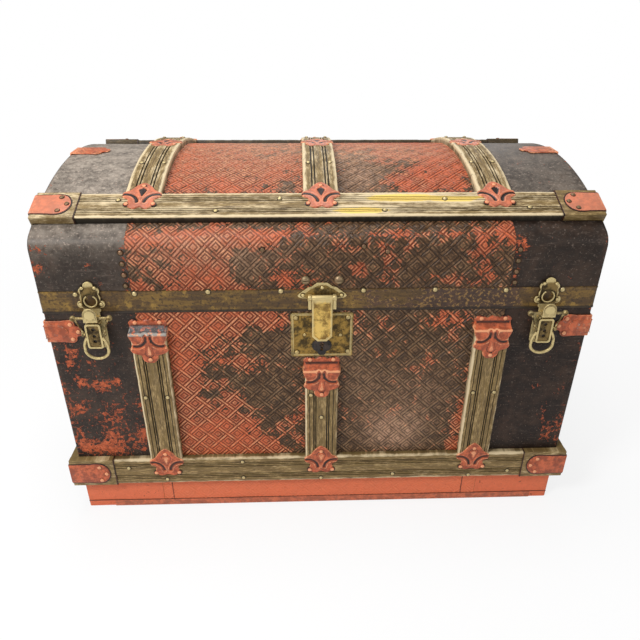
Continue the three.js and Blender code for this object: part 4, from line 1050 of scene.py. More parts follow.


# Where black paint is gone, where dust lies and where a highlight is painted, as the ovals of blobs()

FRONT_RED = [
    (-200, 362, 46, 34, 0.75), (-150, 372, 60, 22, 0.5), (-215, 320, 22, 46, 0.5), (-180, 150, 64, 46, 0.85),
    (-205, 96, 50, 40, 0.7), (-222, 240, 14, 80, 0.5), (-110, 128, 46, 30, 0.5), (-64, 362, 22, 26, 0.45),
    (-120, 300, 30, 24, 0.3), (-70, 330, 40, 30, -0.45), (-92, 250, 44, 50, -0.4), (196, 366, 46, 18, 0.5),
    (66, 356, 20, 18, 0.35), (182, 310, 30, 20, 0.22), (232, 190, 16, 80, 0.5), (240, 120, 26, 26, 0.45),
    (114, 180, 46, 36, 0.12), (30, 110, 40, 20, -0.2), (150, 100, 40, 16, 0.2), (-40, 190, 30, 30, 0.12),
]
FRONT_TINT = [(120, 160, 42, 34, 1.5), (150, 230, 60, 50, 0.3), (60, 250, 40, 60, 0.2)]
LID_RED = [
    (-200, 112, 90, 13, 0.8), (-172, 72, 32, 30, 0.65), (-233, 68, 24, 17, -0.25), (-170, 30, 70, 14, 0.4),
    (-100, 118, 60, 10, 0.55), (-110, 76, 26, 22, -0.35), (-62, 52, 16, 12, 0.45), (38, 100, 26, 8, 0.3),
    (130, 46, 70, 7, 0.3), (262, 118, 24, 16, 0.75), (230, 96, 24, 14, 0.3), (60, 54, 20, 14, 0.3),
    (120, 118, 120, 6, 0.3), (-160, 250, 130, 60, 0.5), (-100, 330, 120, 50, 0.42), (-220, 330, 40, 50, 0.5),
    (60, 250, 34, 70, -0.4), (150, 232, 50, 24, 0.8), (200, 280, 40, 60, 0.6), (130, 340, 50, 30, 0.35),
    (214, 330, 40, 50, 0.6), (40, 300, 20, 30, 0.25),
]
# Pale ovals on the lid: dust, and in the last one, on the lid's front left, a painted highlight.
LID_TINT = [
    (-120, 300, 160, 90, 0.7), (70, 250, 36, 40, 0.6), (120, 340, 120, 40, 0.7), (-60, 380, 260, 60, 0.5),
    (-180, 96, 110, 34, 0.85),
]
CORNER_CHIPS = [
    (-380, 318, 12, 12, 0.62), (-384, 296, 12, 10, 0.6), (-376, 262, 9, 13, 0.6), (-345, 257, 16, 9, 0.62),
    (-318, 264, 8, 7, 0.6), (-384, 214, 12, 12, 0.58), (-330, 206, 22, 14, 0.36), (-352, 186, 30, 10, 0.34),
    (-370, 132, 26, 17, 0.72), (-392, 150, 8, 36, 0.4), (-344, 158, 13, 15, 0.6), (-291, 212, 6, 9, 0.62),
    (-290, 160, 10, 16, 0.6), (-400, 220, 5, 60, 0.3), (-336, 130, 20, 14, 0.5), (-290, 130, 12, 10, 0.44),
    (-352, 300, 8, 6, 0.5), (-310, 150, 26, 30, 0.26), (-340, 230, 60, 90, 0.12), (-384, 340, 10, 10, 0.3),
    (380, 150, 10, 26, 0.66), (366, 190, 8, 20, 0.44), (344, 240, 14, 5, 0.5), (398, 160, 7, 46, 0.5),
    (388, 240, 9, 12, 0.36), (396, 300, 6, 26, 0.24),
]
LID_CHIPS = [
    (-278, 84, 6, 36, 0.5), (-277, 40, 5, 16, 0.5), (284, 98, 9, 16, 0.85), (281, 58, 6, 22, 0.6),
    (-398, 70, 12, 11, 0.7), (-394, 98, 12, 7, 0.62), (-330, 74, 12, 4, 0.4), (404, 60, 4, 50, 0.2),
    (-340, 90, 12, 4, 0.3), (-320, 50, 16, 8, 0.24), (-352, 24, 5, 8, 0.4), (-404, 260, 4, 110, 0.2),
    (404, 260, 4, 110, 0.2), (-300, 230, 10, 10, 0.34), (320, 300, 14, 10, 0.3),
]
SHOULDER_BRIGHT = [
    (118, 13, 56, 9, 1.2), (56, -14, 46, 8, 1.1), (200, 8, 34, 9, 0.7), (240, 14, 40, 6, 0.4),
    (-300, 4, 40, 7, 0.4), (-200, -8, 40, 6, 0.3),
]
BAND_PLUM = [
    (215, 0, 60, 40, 0.5), (150, 0, 70, 30, 0.35), (268, 0, 40, 40, 0.5), (70, 0, 40, 40, 0.3),
    (-60, 0, 16, 40, 0.3), (-350, 0, 20, 40, 0.25),
]


class TrunkStep:
    """What every step shares: the sizes, the colours and the line across the lid."""

    bl_options = {"REGISTER", "UNDO"}

    def execute(self, context):
        sizes = Millimetres(context.scene.trunk_sizes)
        self.build(sizes, context.scene.trunk_colours, LidSection(sizes))
        return {"FINISHED"}


class TRUNK_OT_weave_sheets(TrunkStep, bpy.types.Operator):
    """Stamped tin in the middle of the body's front and over the middle of the lid"""

    bl_idname = "trunk.weave_sheets"
    bl_label = "Stamped sheets"

    def build(self, sizes, colours, section):
        seam, rise = sizes.seam - SEAM_GAP, sizes.weave_rise
        finish = embossed_paint("body_stamped_tin", colours)
        low, high = TIN_EDGE, sizes.opening - TIN_EDGE
        sheet = weave_sheet(seam * 2, high - low, sizes, FRONT_PHASE)

        def worn(co):
            x, z = co.x - seam, co.y + low
            if z < FOOT:
                return 1.05
            base = 0.34 - 0.32 * min(1, max(0, (x + 120) / 160))
            return base + blobs(x, z, FRONT_RED) + square_share(co.x, co.y, sizes, FRONT_PHASE) + patchy(co)

        mark(sheet, "wear", worn)
        mark(sheet, "tint", lambda co: min(1, blobs(co.x - seam, co.y + low, FRONT_TINT)))
        mark(sheet, "fresh", lambda co: 0.8 if co.y < FOOT else 0.0)
        mark(sheet, "crest", lambda co: 0.55 + 0.3 * co.z / rise if co.y < FOOT else co.z / rise)
        mapped(sheet, lambda co: Vector((co.x, co.y, co.z * (0.4 if co.y < FOOT else 1))))
        mapped(sheet, on_wall("front", 0.0, -seam, low))
        mapped(sheet, lambda co: co - Vector((0, 0.5 * ruffle(*co, 0.011), 0)))
        settled(sheet, "stamped_front", "trunk_body", finish, ["body_front_sheet"], 50)

        sheet = weave_sheet(seam * 2, section.length, sizes, LID_PHASE)
        bends = [section.wall + section.bend * i / 6 for i in range(7)]
        bends += [section.length - run for run in bends]
        cut(sheet, [((0, run, 0), (0, 1, 0)) for run in bends])

        def lid_worn(co):
            x, run = co.x - seam, co.y
            if run > section.crest:
                return 0.35 + 0.5 * blobs(-x, section.length - run, LID_RED)
            base = 0.3 - 0.2 * min(1, max(0, (x + 100) / 120)) if run < 130 else 0.2
            return base + blobs(x, run, LID_RED) + square_share(co.x, co.y, sizes, LID_PHASE) + patchy(co)

        near_edge = lambda co: min(co.y, section.length - co.y)
        mark(sheet, "wear", lid_worn)
        mark(sheet, "tint", lambda co: min(1, blobs(co.x - seam, near_edge(co), LID_TINT)))
        mapped(sheet, lambda co: Vector((co.x, co.y, co.z * (0.3 if near_edge(co) < BAND_HEIGHT + 1 else 1))))
        mapped(sheet, on_lid(section, 0.0, -seam, 0.0))
        settled(sheet, "stamped_lid", "lid", finish, ["lid_middle_sheet"], 50)


class TRUNK_OT_plain_sheets(TrunkStep, bpy.types.Operator):
    """Plain black tin round the ends of the body and lid, and across the back"""

    bl_idname = "trunk.plain_sheets"
    bl_label = "Plain sheets"

    def build(self, sizes, colours, section):
        finish = black_paint("plain_black_tin", colours)
        seam, width, depth = sizes.seam + SEAM_GAP, sizes.half_width, sizes.half_depth
        low, high = TIN_EDGE, sizes.opening - TIN_EDGE
        fine = [(seam, -depth)]
        for y, start in ((-depth + 3, -90), (depth - 3, 0)):
            fine += arc(width - 3, y, 3, 3, [start + 22.5 * step for step in range(5)])
        fine = finely([*fine, (seam, depth)], 7)
        for side, name in SIDES:
            def at(s, t):
                """A point of the sheet, and its distance from a corner."""
                x, y = fine[round(s * (len(fine) - 1))]
                return side * x, y, low + (high - low) * t, width - x + depth - abs(y)

            def spot(s, t):
                x, y, z, inside = at(s, t)
                dent = 0.6 * ruffle(x, y, z, 0.013) * min(1, inside / 30)
                out = Vector((side, 0, 0)) if abs(x) > width - 0.1 else Vector((0, math.copysign(1, y), 0))
                return Vector((x, y, z)) + out * dent

            def notes(s, t):
                x, y, z, inside = at(s, t)
                wear = (0.27 if side < 0 else 0.18) + 0.3 * max(0, 1 - inside / 9)
                if y < -depth + 4:
                    wear += blobs(x, z, CORNER_CHIPS)
                else:
                    wear += 0.34 * max(0, ruffle(x, y, z, 0.012)) + 0.3 * max(0, 1 - z / 130)
                # The left end gets a faint painted sheen.
                tint = 0.05 if side < 0 else 0.0
                if z < FOOT and y < -depth + 1:
                    return {"wear": 1.2, "tint": tint, "crest": 0.6, "fresh": 0.8}
                return {"wear": wear, "tint": tint, "crest": 0.6, "fresh": 0.0}

            sheet = grid(len(fine) - 1, 60, spot, notes)
            if side < 0:
                flipped(sheet)
            settled(sheet, f"plain_end_{name}", "trunk_body", finish, [f"{name}_end_sheet"], 50)

        back_at = lambda s, t: (seam * (1 - 2 * s), low + (high - low) * t)

        def back_spot(s, t):
            x, z = back_at(s, t)
            return Vector((x, depth + 0.7 * ruffle(x, 9, z, 0.011), z))

        def back_notes(s, t):
            x, z = back_at(s, t)
            wear = 0.2 + 0.36 * max(0, ruffle(x, 3, z, 0.014)) + 0.34 * max(0, 1 - z / 110)
            return {"wear": wear, "tint": 0.24, "crest": 0.6}

        back = grid(78, 54, back_spot, back_notes)
        settled(back, "plain_back", "trunk_body", finish, ["body_back_sheet"], 50)

        rows = 118
        for side, name in SIDES:
            lid_at = lambda s, t: (side * (seam + (width - seam) * s), section.length * t)

            def lid_spot(s, t):
                x, run = lid_at(s, t)
                dent = 0.5 * ruffle(x, run, 2, 0.014) * min(1, (width - abs(x)) / 12)
                return section.place(x, run, dent - 0.6 * max(0, s - 0.97) / 0.03)

            def lid_notes(s, t):
                x, run = lid_at(s, t)
                near = min(run, section.length - run)
                chips = blobs(x if run < section.crest else -x, near, LID_CHIPS)
                # dust here is a painted sheen: strong over the dome on the left, rising up the left wall, faint on the
                # right.
                if near > 190:
                    dust = 1.0 if side < 0 else 0.4
                else:
                    dust = 0.12 + 0.5 * max(0, near - 76) / 50 if side < 0 else 0.04
                return {"wear": 0.18 + chips + 0.12 * max(0, s - 0.95) / 0.05, "tint": dust, "crest": 0.6}

            sheet = grid(20, rows, lid_spot, lid_notes)
            if side < 0:
                flipped(sheet)

            def end_spot(s, t):
                middle = Vector((0, section.start))
                y, z = middle + (Vector(section.at(section.length * s)) - middle) * (1 - t * 0.999)
                return Vector((side * (width + 0.7 * ruffle(3, y, z, 0.012) * min(1, t * 6)), y, z))

            def end_notes(s, t):
                y, z = section.at(section.length * s)
                wear = 0.24 + 0.2 * max(0, 1 - t * 18) + 0.3 * max(0, ruffle(y, z, t, 0.02))
                return {"wear": wear, "tint": 0.4, "crest": 0.6}

            end = grid(rows, 30, end_spot, end_notes)
            if side > 0:
                flipped(end)
            settled(joined([sheet, end]), f"plain_lid_{name}", "lid", finish, [f"lid_{name}_sheet"])


class TRUNK_OT_slats(TrunkStep, bpy.types.Operator):
    """Grooved wooden slats on the body and the lid"""

    bl_idname = "trunk.slats"
    bl_label = "Slats"

    def build(self, sizes, colours, section):
        finish = slat_paint("grooved_slat_paint", colours)
        width, depth, radius = sizes.half_width, sizes.half_depth, section.radius
        body, lid = {}, {}
        for side, name in SLATS:
            dull = 0.0 if side < 0 else -0.16
            place = lambda along, across, out: wall_place("front", side * OUTER_SLAT + across, along, out)
            # Left edges rubbed to straw: worn paint with a painted highlight from the left.
            worn = lambda along, across: 0.36 + 0.5 * ruffle(along, 0, 2, 0.04) if across < -22 else dull
            start, end = BOTTOM_SLAT + 26.3, SLAT_TOPS[side]
            body[f"front_slat_{name}"] = slat(sizes, start, end, place, worn, 3.0 + side, FRONT_GROOVES)
        for side in ("front", "back", "left", "right"):
            half = width + SLAT_REACH if side in ("front", "back") else depth - 0.3
            place = lambda along, across, out: wall_place(side, along, BOTTOM_SLAT + across, out)
            worn = lambda along, across: 0.35 * max(0, ruffle(along, across, 1, 0.02))
            body[f"bottom_slat_{side}"] = slat(sizes, -half, half, place, worn, len(body) + 7.0)

        for name, back in (("front", False), ("back", True)):
            tilt = corner_place(section, "shoulder", back)
            place = lambda along, across, out: tilt(along, -out, across)
            # The back shoulder slat is kept dull, part of its painted shade; the front one is rubbed bright in patches.
            worn = lambda along, across: -0.5 if back else 0.38 + blobs(along, across, SHOULDER_BRIGHT)
            # Painted shade with dirt on the lower side of the front shoulder slat; painted shade over all of the back
            # one.
            shade = lambda across, out: 0.4 if back else 0.3 if across < -25 and out < 9.5 else 1.0
            piece = slat(sizes, -width, width, place, worn, 21.0 + back * 5, shade=shade)
            lid[f"shoulder_slat_{name}"] = piece
        for side, name in SLATS:
            def bent(along, across, out):
                reach, angle = radius + out, along / radius
                z = section.centre + reach * math.cos(angle)
                return Vector((side * OUTER_SLAT + across, -reach * math.sin(angle), z))

            worn = lambda along, across: 0.32 + 0.3 * max(0, ruffle(along, across, side, 0.05))
            far = radius * CROSS_SLAT_TURN
            lid[f"cross_slat_{name}"] = slat(sizes, far, -far, bent, worn, 31.0 + side, WIDE_GROOVES)
        for rider, slats in (("trunk_body", body), ("lid", lid)):
            for node, piece in slats.items():
                settled(piece, f"wood_{node}", rider, finish, [node])


class TRUNK_OT_clasps(TrunkStep, bpy.types.Operator):
    """Stamped clasps at the ends and crossings of the slats"""

    bl_idname = "trunk.clasps"
    bl_label = "Clasps"

    def build(self, sizes, colours, section):
        finish = red_paint("red_stamped_tin", colours)
        for side, name in SLATS:
            x = side * OUTER_SLAT
            low = lambda cx, cy, out: wall_place("front", x + cx, 78.2 + cy, CLASP_STAND + out)

            def hood(cx, cy, out):
                """Down the slat's face, and above its top edge down to the tin."""
                past = max(0.0, cy - HOOD_BEND)
                slope = min(1.0, past / HOOD_SLOPE)
                height = SLAT_TOPS[side] + min(0.0, cy - HOOD_BEND) + 10.5 * slope + max(0.0, past - HOOD_SLOPE)
                stand = CLASP_STAND - 10.7 * slope + (out if out > -1 or past == 0 else -12)
                return wall_place("front", x + cx, height, max(0.2, stand))

            pieces = [clasp(low, side + 2.0), clasp(hood, side + 6.0, hood=True, bare=0.5 if side < 0 else 0.2)]
            pieces = outward(joined(pieces))
            settled(pieces, f"front_clasps_{name}", "trunk_body", finish, [f"front_slat_{name}"], 50)
            run, pieces = section.dome_clasp, []
            for maker, across, start, stand, relief in (
                (on_lid, x, run, 12.6, 1.0), (on_lid, x, section.crest - 10, 11.6, 0.6),
                (turned_on_lid, -x, run, 12.6, 1.0),
            ):
                spot = maker(section, stand, across, start)
                place = lambda cx, cy, out: spot(Vector((cx, cy, out)))
                pieces.append(clasp(place, start, relief=relief, hollow=0.62, boss=False))
            # The dome clasps are painted paler, as light falling from above.
            pieces = mark(outward(joined(pieces)), "tint", 0.45)
            settled(pieces, f"dome_clasps_{name}", "lid", finish, [f"cross_slat_{name}"], 50)


class TRUNK_OT_clamps(TrunkStep, bpy.types.Operator):
    """Corner clamps with raised pads, and the flat clamps above them"""

    bl_idname = "trunk.clamps"
    bl_label = "Clamps"

    def build(self, sizes, colours, section):
        width = sizes.half_width
        red = red_paint("red_clamp_tin", colours)
        border = slat_paint("clamp_border_paint", colours)
        corners = [(side, back) for back in (False, True) for side in (-1, 1)]
        corner_name = lambda side, back: f"{'back' if back else 'front'}_{'left' if (side < 0) != back else 'right'}"

        for kind, body in (("bottom", "trunk_body"), ("shoulder", "lid")):
            bottom = kind == "bottom"
            far = SLAT_REACH + 1.2 if bottom else 1.2  # the clamp's face on the end
            for side, back in corners:
                along, across = corner_maps(corner_place(section, kind, back), width, side)

                def pad(half, grow, top):
                    """A raised pad on each face, or with some growth the dark line round it, a painted contact shadow
                    with dirt.
                    """
                    faces = ((far + 0.6 - grow / 4, -52, 12.2, along), (grow / 4 - 13.2, 44, far - 0.3, across))
                    made = []
                    for start, end, low, place in faces:
                        outline = leg_outline(start, end + math.copysign(grow, end), half, False)
                        made.append(mapped(plate(outline, low, low + 1.0 + top, top / 2, 3), place))
                    return made

                shell = [mapped(block((-60, -27.2, 0.4), (far, 27.2, 12.5), 1.3, 3), along)]
                round_edge = 1.3 if bottom else 0.4
                shell.append(mapped(block((-12.1, -26.9, -1.0), (52, 26.9, far - 0.3), round_edge, 3), across))
                pads, lines = pad(20, 0, 0.8), pad(21.8, 1.8, 0.2)
                # A dark joint line at the clamp's inner edge, with painted shadow at the step.
                lines.append(mapped(block((-61.4, -27.4, 0.5), (-59.8, 27.4, 12.4), 0.2), along))
                shell = rubbed(outward(joined(shell)), 0.8)
                mark(shell, "along", lambda co: co.x)
                mark(shell, "across", lambda co: co.z)
                mark(shell, "edge", 0.0 if back else 0.35 if bottom else 0.6 if side < 0 else 0.15)
                mark(shell, "wear", -0.5 if back else 0.15)
                if back:
                    mark(shell, "crest", 0.4)
                pads = rubbed(outward(joined(pads)), 0.32 if bottom else 0.5)
                # The front shoulder pads are painted paler, as light falling from above.
                mark(pads, "tint", 0.0 if bottom or back else 0.8)
                # The lines are marked dark: painted shadow with dirt and the dark joint.
                lines = mark(outward(joined(lines)), "crest", 0.14)
                pads = mark(joined([pads, lines]), "wear", 0.24 if bottom else 0.1)
                nodes = [f"{kind}_slat_back" if back else f"{kind}_clamp_{'left' if side < 0 else 'right'}"]
                name = corner_name(side, back)
                settled(shell, f"{kind}_clamp_border_{name}", body, border, nodes)
                settled(pads, f"{kind}_clamp_pad_{name}", body, red, nodes)

        for side, back in corners:
            along, across = corner_maps(corner_place(section, "middle", back), width, side)
            parts = [
                mapped(plate(leg_outline(1.6, -52, 19), 0.4, 2.3, 0.7, 3), along),
                mapped(plate(leg_outline(-2.2, 46, 19), 0.4, 2.3, 0.7, 3), across),
                mapped(plate(leg_outline(1.6, -31, 11, False), 2.0, 3.3, 0.6, 3), along),
                mapped(plate(leg_outline(-2.2, 25, 11, False), 2.0, 3.2, 0.6, 3), across),
            ]
            name = corner_name(side, back)
            piece = mark(rubbed(outward(joined(parts)), 0.52), "wear", 0.28)
            nodes = [f"{name.split('_')[1]}_end_sheet"]
            settled(piece, f"middle_clamp_{name}", "trunk_body", red, nodes)

        for side, name in SIDES:
            along = lambda co: section.place(side * (width + co.x), section.crest + co.y, co.z)
            across = corner_maps(corner_place(section, "crest"), width, side)[1]
            top = mapped(plate(leg_outline(1.6, -58, 22), 0.4, 2.4, 0.7, 3), along)
            end = mapped(plate(leg_outline(-2.2, 42, 22), 0.4, 2.3, 0.7, 3), across)
            piece = rubbed(outward(joined([top, end])), 0.55)
            settled(piece, f"crest_clamp_{name}", "lid", red, [f"lid_{name}_sheet"])


class TRUNK_OT_edge_strips(TrunkStep, bpy.types.Operator):
    """The gold band round the lid's edge and the strip along the foot of the front"""

    bl_idname = "trunk.edge_strips"
    bl_label = "Edge strips"

    def build(self, sizes, colours, section):
        width, depth = sizes.half_width, sizes.half_depth
        rim = rounded_outline((-width, -depth), (width, depth), 4, 4)
        fine = finely(rim + rim[:1], 8)
        profile = [
            (0.0, 0.2), (0.2, 1.2), (1.6, 1.6), (3.0, 1.2), (5.0, 1.05), (17.0, 1.1), (30.0, 1.05), (32.2, 1.2),
            (33.6, 1.55), (34.8, 1.2), (BAND_HEIGHT, 0.2),
        ]

        def at(s, t):
            return *fine[round(s * (len(fine) - 1))], *profile[round(t * (len(profile) - 1))]

        def spot(s, t):
            x, y, up, out = at(s, t)
            if 4 < up < 31:
                out += 0.35 * ruffle(x, y, up, 0.05)
            grow_x = math.copysign(out, x) if abs(x) > width - 4.1 else 0
            grow_y = math.copysign(out, y) if abs(y) > depth - 4.1 else 0
            return Vector((x, y, sizes.opening + up)) + Vector((grow_x, grow_y, 0))

        def notes(s, t):
            x, y, up, _ = at(s, t)
            # Below 4 mm, under the bead, crest is low: a painted shade.
            return {"wear": 0.2 if y > -depth + 5 else blobs(x, 0, BAND_PLUM), "crest": 0.3 if up < 4 else 0.6}

        band = outward(merged(outward(grid(len(fine) - 1, len(profile) - 1, spot, notes))))
        finish = gold_band_paint("gold_band_paint", colours)
        settled(band, "gold_edge_band", "lid", finish, ["lid_edge_band"])

        strip_x = lambda s: 46 - width + 736 * s
        strip_profile = [(0.5, 0.2), (0.6, 1.3), (6, 1.5), (11.8, 1.5), (12.7, 1.1), (12.8, 0.2)]

        def strip_spot(s, t):
            up, out = strip_profile[round(t * 5)]
            bite = 0.8 * max(0, ruffle(strip_x(s), 0, 4, 0.06)) if t == 1 else 0
            return wall_place("front", strip_x(s), up - bite, out)

        def strip_notes(s, t):
            return {"crest": 0.7 if 0.1 < t < 0.95 else 0.2, "wear": 0.3 * max(0, ruffle(strip_x(s), 5, t * 9, 0.035))}

        strip = mark(grid(150, 5, strip_spot, strip_notes), "tint", 0.3)
        lines = [block((1 - width, 12.7, 0.1), (width - 1, 14.0, 0.8), 0.2)]
        lines += [block((x, 0.8, 0.1), (x + 1.3, 61, 0.8), 0.2) for x in (-258, 249)]
        lines = mark(mapped(joined(lines), on_wall("front")), "crest", 0.2)
        finish = red_paint("foot_strip_paint", colours)
        strip = joined([outward(strip), outward(lines)])
        settled(strip, "foot_strip", "trunk_body", finish, ["bottom_edge_strip"])


class TRUNK_OT_nails(TrunkStep, bpy.types.Operator):
    """Nail and rivet heads on tin, slats, clasps and clamps"""

    bl_idname = "trunk.nails"
    bl_label = "Nails"

    def build(self, sizes, colours, section):
        steel = brass("nail_steel", colours, linear(150, 134, 108), linear(84, 70, 52), 0.8)
        red = red_paint("nail_red", colours)
        dark = brass("nail_dark", colours, linear(112, 72, 58), linear(64, 40, 32), 0.2)
        width, depth, seam = sizes.half_width, sizes.half_depth, sizes.seam
        ends, signs = ("left", "right"), (-1, 1)
        pad_nails, end_nails = ((-47, 0), (-37, 14), (-37, -14)), ((38, 0), (29, 12), (29, -12))

        def on(side, stand, spots):
            return [on_wall(side, stand, x, z) for x, z in spots]

        def on_slat(tilt, stand, along, up):
            return lambda co: tilt(along + co.x, -stand - co.z, up + co.y)

        def on_slat_end(tilt, sign, inward, up):
            return lambda co: tilt(sign * (width + 2.5 + co.z), inward + co.x, up + co.y)

        def driven(places, name, body, slot, finish, *shape):
            settled(nails(places, *shape), name, body, finish, smooth=60)

        for name, body, stand, spots in (
            ("lower", "trunk_body", 2.0, ((-14, 345), (14, 345), (0, 366))),
            ("upper", "lid", 3.5, ((-14, 426), (14, 426), (0, 405))),
        ):
            heads = on("back", stand, [(side * 165 + dx, z) for side in signs for dx, z in spots])
            driven(heads, f"hinge_{name}_screws", body, "iron", steel, 3.0, 1.4)

        spots = [(-261, 70), (-132, 105), (-132, 70), (0, 66), (123, 72), (255, 66), (-322, 96), (322, 74)]
        spots += [(x, 240) for x in (-275, -241, 241, 275)] + [(0, 196), (-17, 240)]
        heads = on("front", 11.3, spots) + on("back", 11.3, [(x, BOTTOM_SLAT) for x in range(-300, 301, 120)])
        for side in ends:
            heads += on(side, 11.3, [(x, BOTTOM_SLAT) for x in (-150, -50, 50, 150)])
        driven(heads, "slat_nails", "trunk_body", "iron", steel)

        heads = []
        for side in ("front", "back"):
            heads += on(side, 0.3, [(sign * (seam + 10), z) for sign in signs for z in range(160, 330, 34)])
        driven(heads, "seam_nails", "trunk_body", "iron", dark, 3.2, 2.1, 0.9)

        heads = []
        for side, _ in SLATS:
            x, top = side * OUTER_SLAT, SLAT_TOPS[side]
            heads += on("front", 12.6, [(x, 126), (x - 19, 86), (x + 19, 86)])
            heads += on("front", 1.6, [(x - 18, top + 15), (x + 18, top + 15)]) + on("front", 12.6, [(x, top - 43)])
        for sign in signs:
            for height, stands, spots in (
                (BOTTOM_SLAT, (13.8, 12.8), pad_nails),
                (MIDDLE_CLAMP, (2.1, 2.1), ((-46, 0), (-36, 12.5), (-36, -12.5))),
            ):
                for along, up in spots:
                    for side, stand in zip(("front", "back"), stands):
                        heads.append(on_wall(side, stand, sign * (width + along), height + up))
        for side in ends:
            for sign in signs:
                for height, stand, spots in (
                    (BOTTOM_SLAT, 13.8, end_nails), (MIDDLE_CLAMP, 2.1, ((38, 0), (28, 10), (28, -10))),
                ):
                    heads += on(side, stand, [(sign * (depth - inward), height + up) for inward, up in spots])
        driven(heads, "clasp_nails", "trunk_body", "red_tin", red, 3.8, 2.4, 0.94)

        heads = []
        for side, _ in SLATS:
            x = side * OUTER_SLAT
            for maker, across in ((on_lid, x), (turned_on_lid, -x)):
                for dx, dy in ((0, 48), (-19, 8), (19, 8)):
                    heads.append(maker(section, 13.4, across + dx, section.dome_clasp + dy))
            heads += [on_lid(section, 11.0, x + dx, section.crest + dy) for dx, dy in ((-17, -1), (17, -1), (0, 39))]
        driven(heads, "lid_clasp_nails", "lid", "red_tin", red, 3.6, 2.2, 0.9)

        heads = []
        for back in (False, True):
            tilt = corner_place(section, "shoulder", back)
            for sign in signs:
                heads += [on_slat(tilt, 13.8, sign * (width + along), up) for along, up in pad_nails]
                heads += [on_slat_end(tilt, sign, inward, up) for inward, up in end_nails]
        driven(heads, "lid_pad_nails", "lid", "iron", dark, 3.8, 2.4, 0.9)

        spots = ((-150, -14), (-60, 12), (-290, 10), (90, -14), (180, 10), (300, -10))
        tilt = corner_place(section, "shoulder")
        heads = [on_slat(tilt, 11.2, along, up) for along, up in spots]
        for side, _ in SLATS:
            spots = ((-17, 90), (17, 90), (-17, -90), (17, -90))
            heads += [on_lid(section, 11.1, side * OUTER_SLAT + dx, section.crest - dy) for dx, dy in spots]
        driven(heads, "lid_slat_nails", "lid", "iron", steel)

        heads = []
        for side in ("front", "back"):
            heads += on(side, 1.2, [(x, 416) for x in (-354, -270)] + [(x, 418) for x in (-165, -60, 60, 165)])
            heads += on(side, 1.2, [(x, 416) for x in (270, 354)])
        for side in ends:
            heads += on(side, 1.2, [(x, 417) for x in range(-210, 211, 70)])
        driven(heads, "band_rivets", "lid", "iron", steel, 3.8, 2.8)

        heads = on("front", 0.3, [(sign * (seam + 7), z) for sign in signs for z in (428, 445, 462, 479)])
        heads += on("front", 0.8, [(-84, 482), (58, 486), (92, 478)])
        driven(heads, "lid_seam_nails", "lid", "iron", dark, 3.6, 2.3, 0.9)


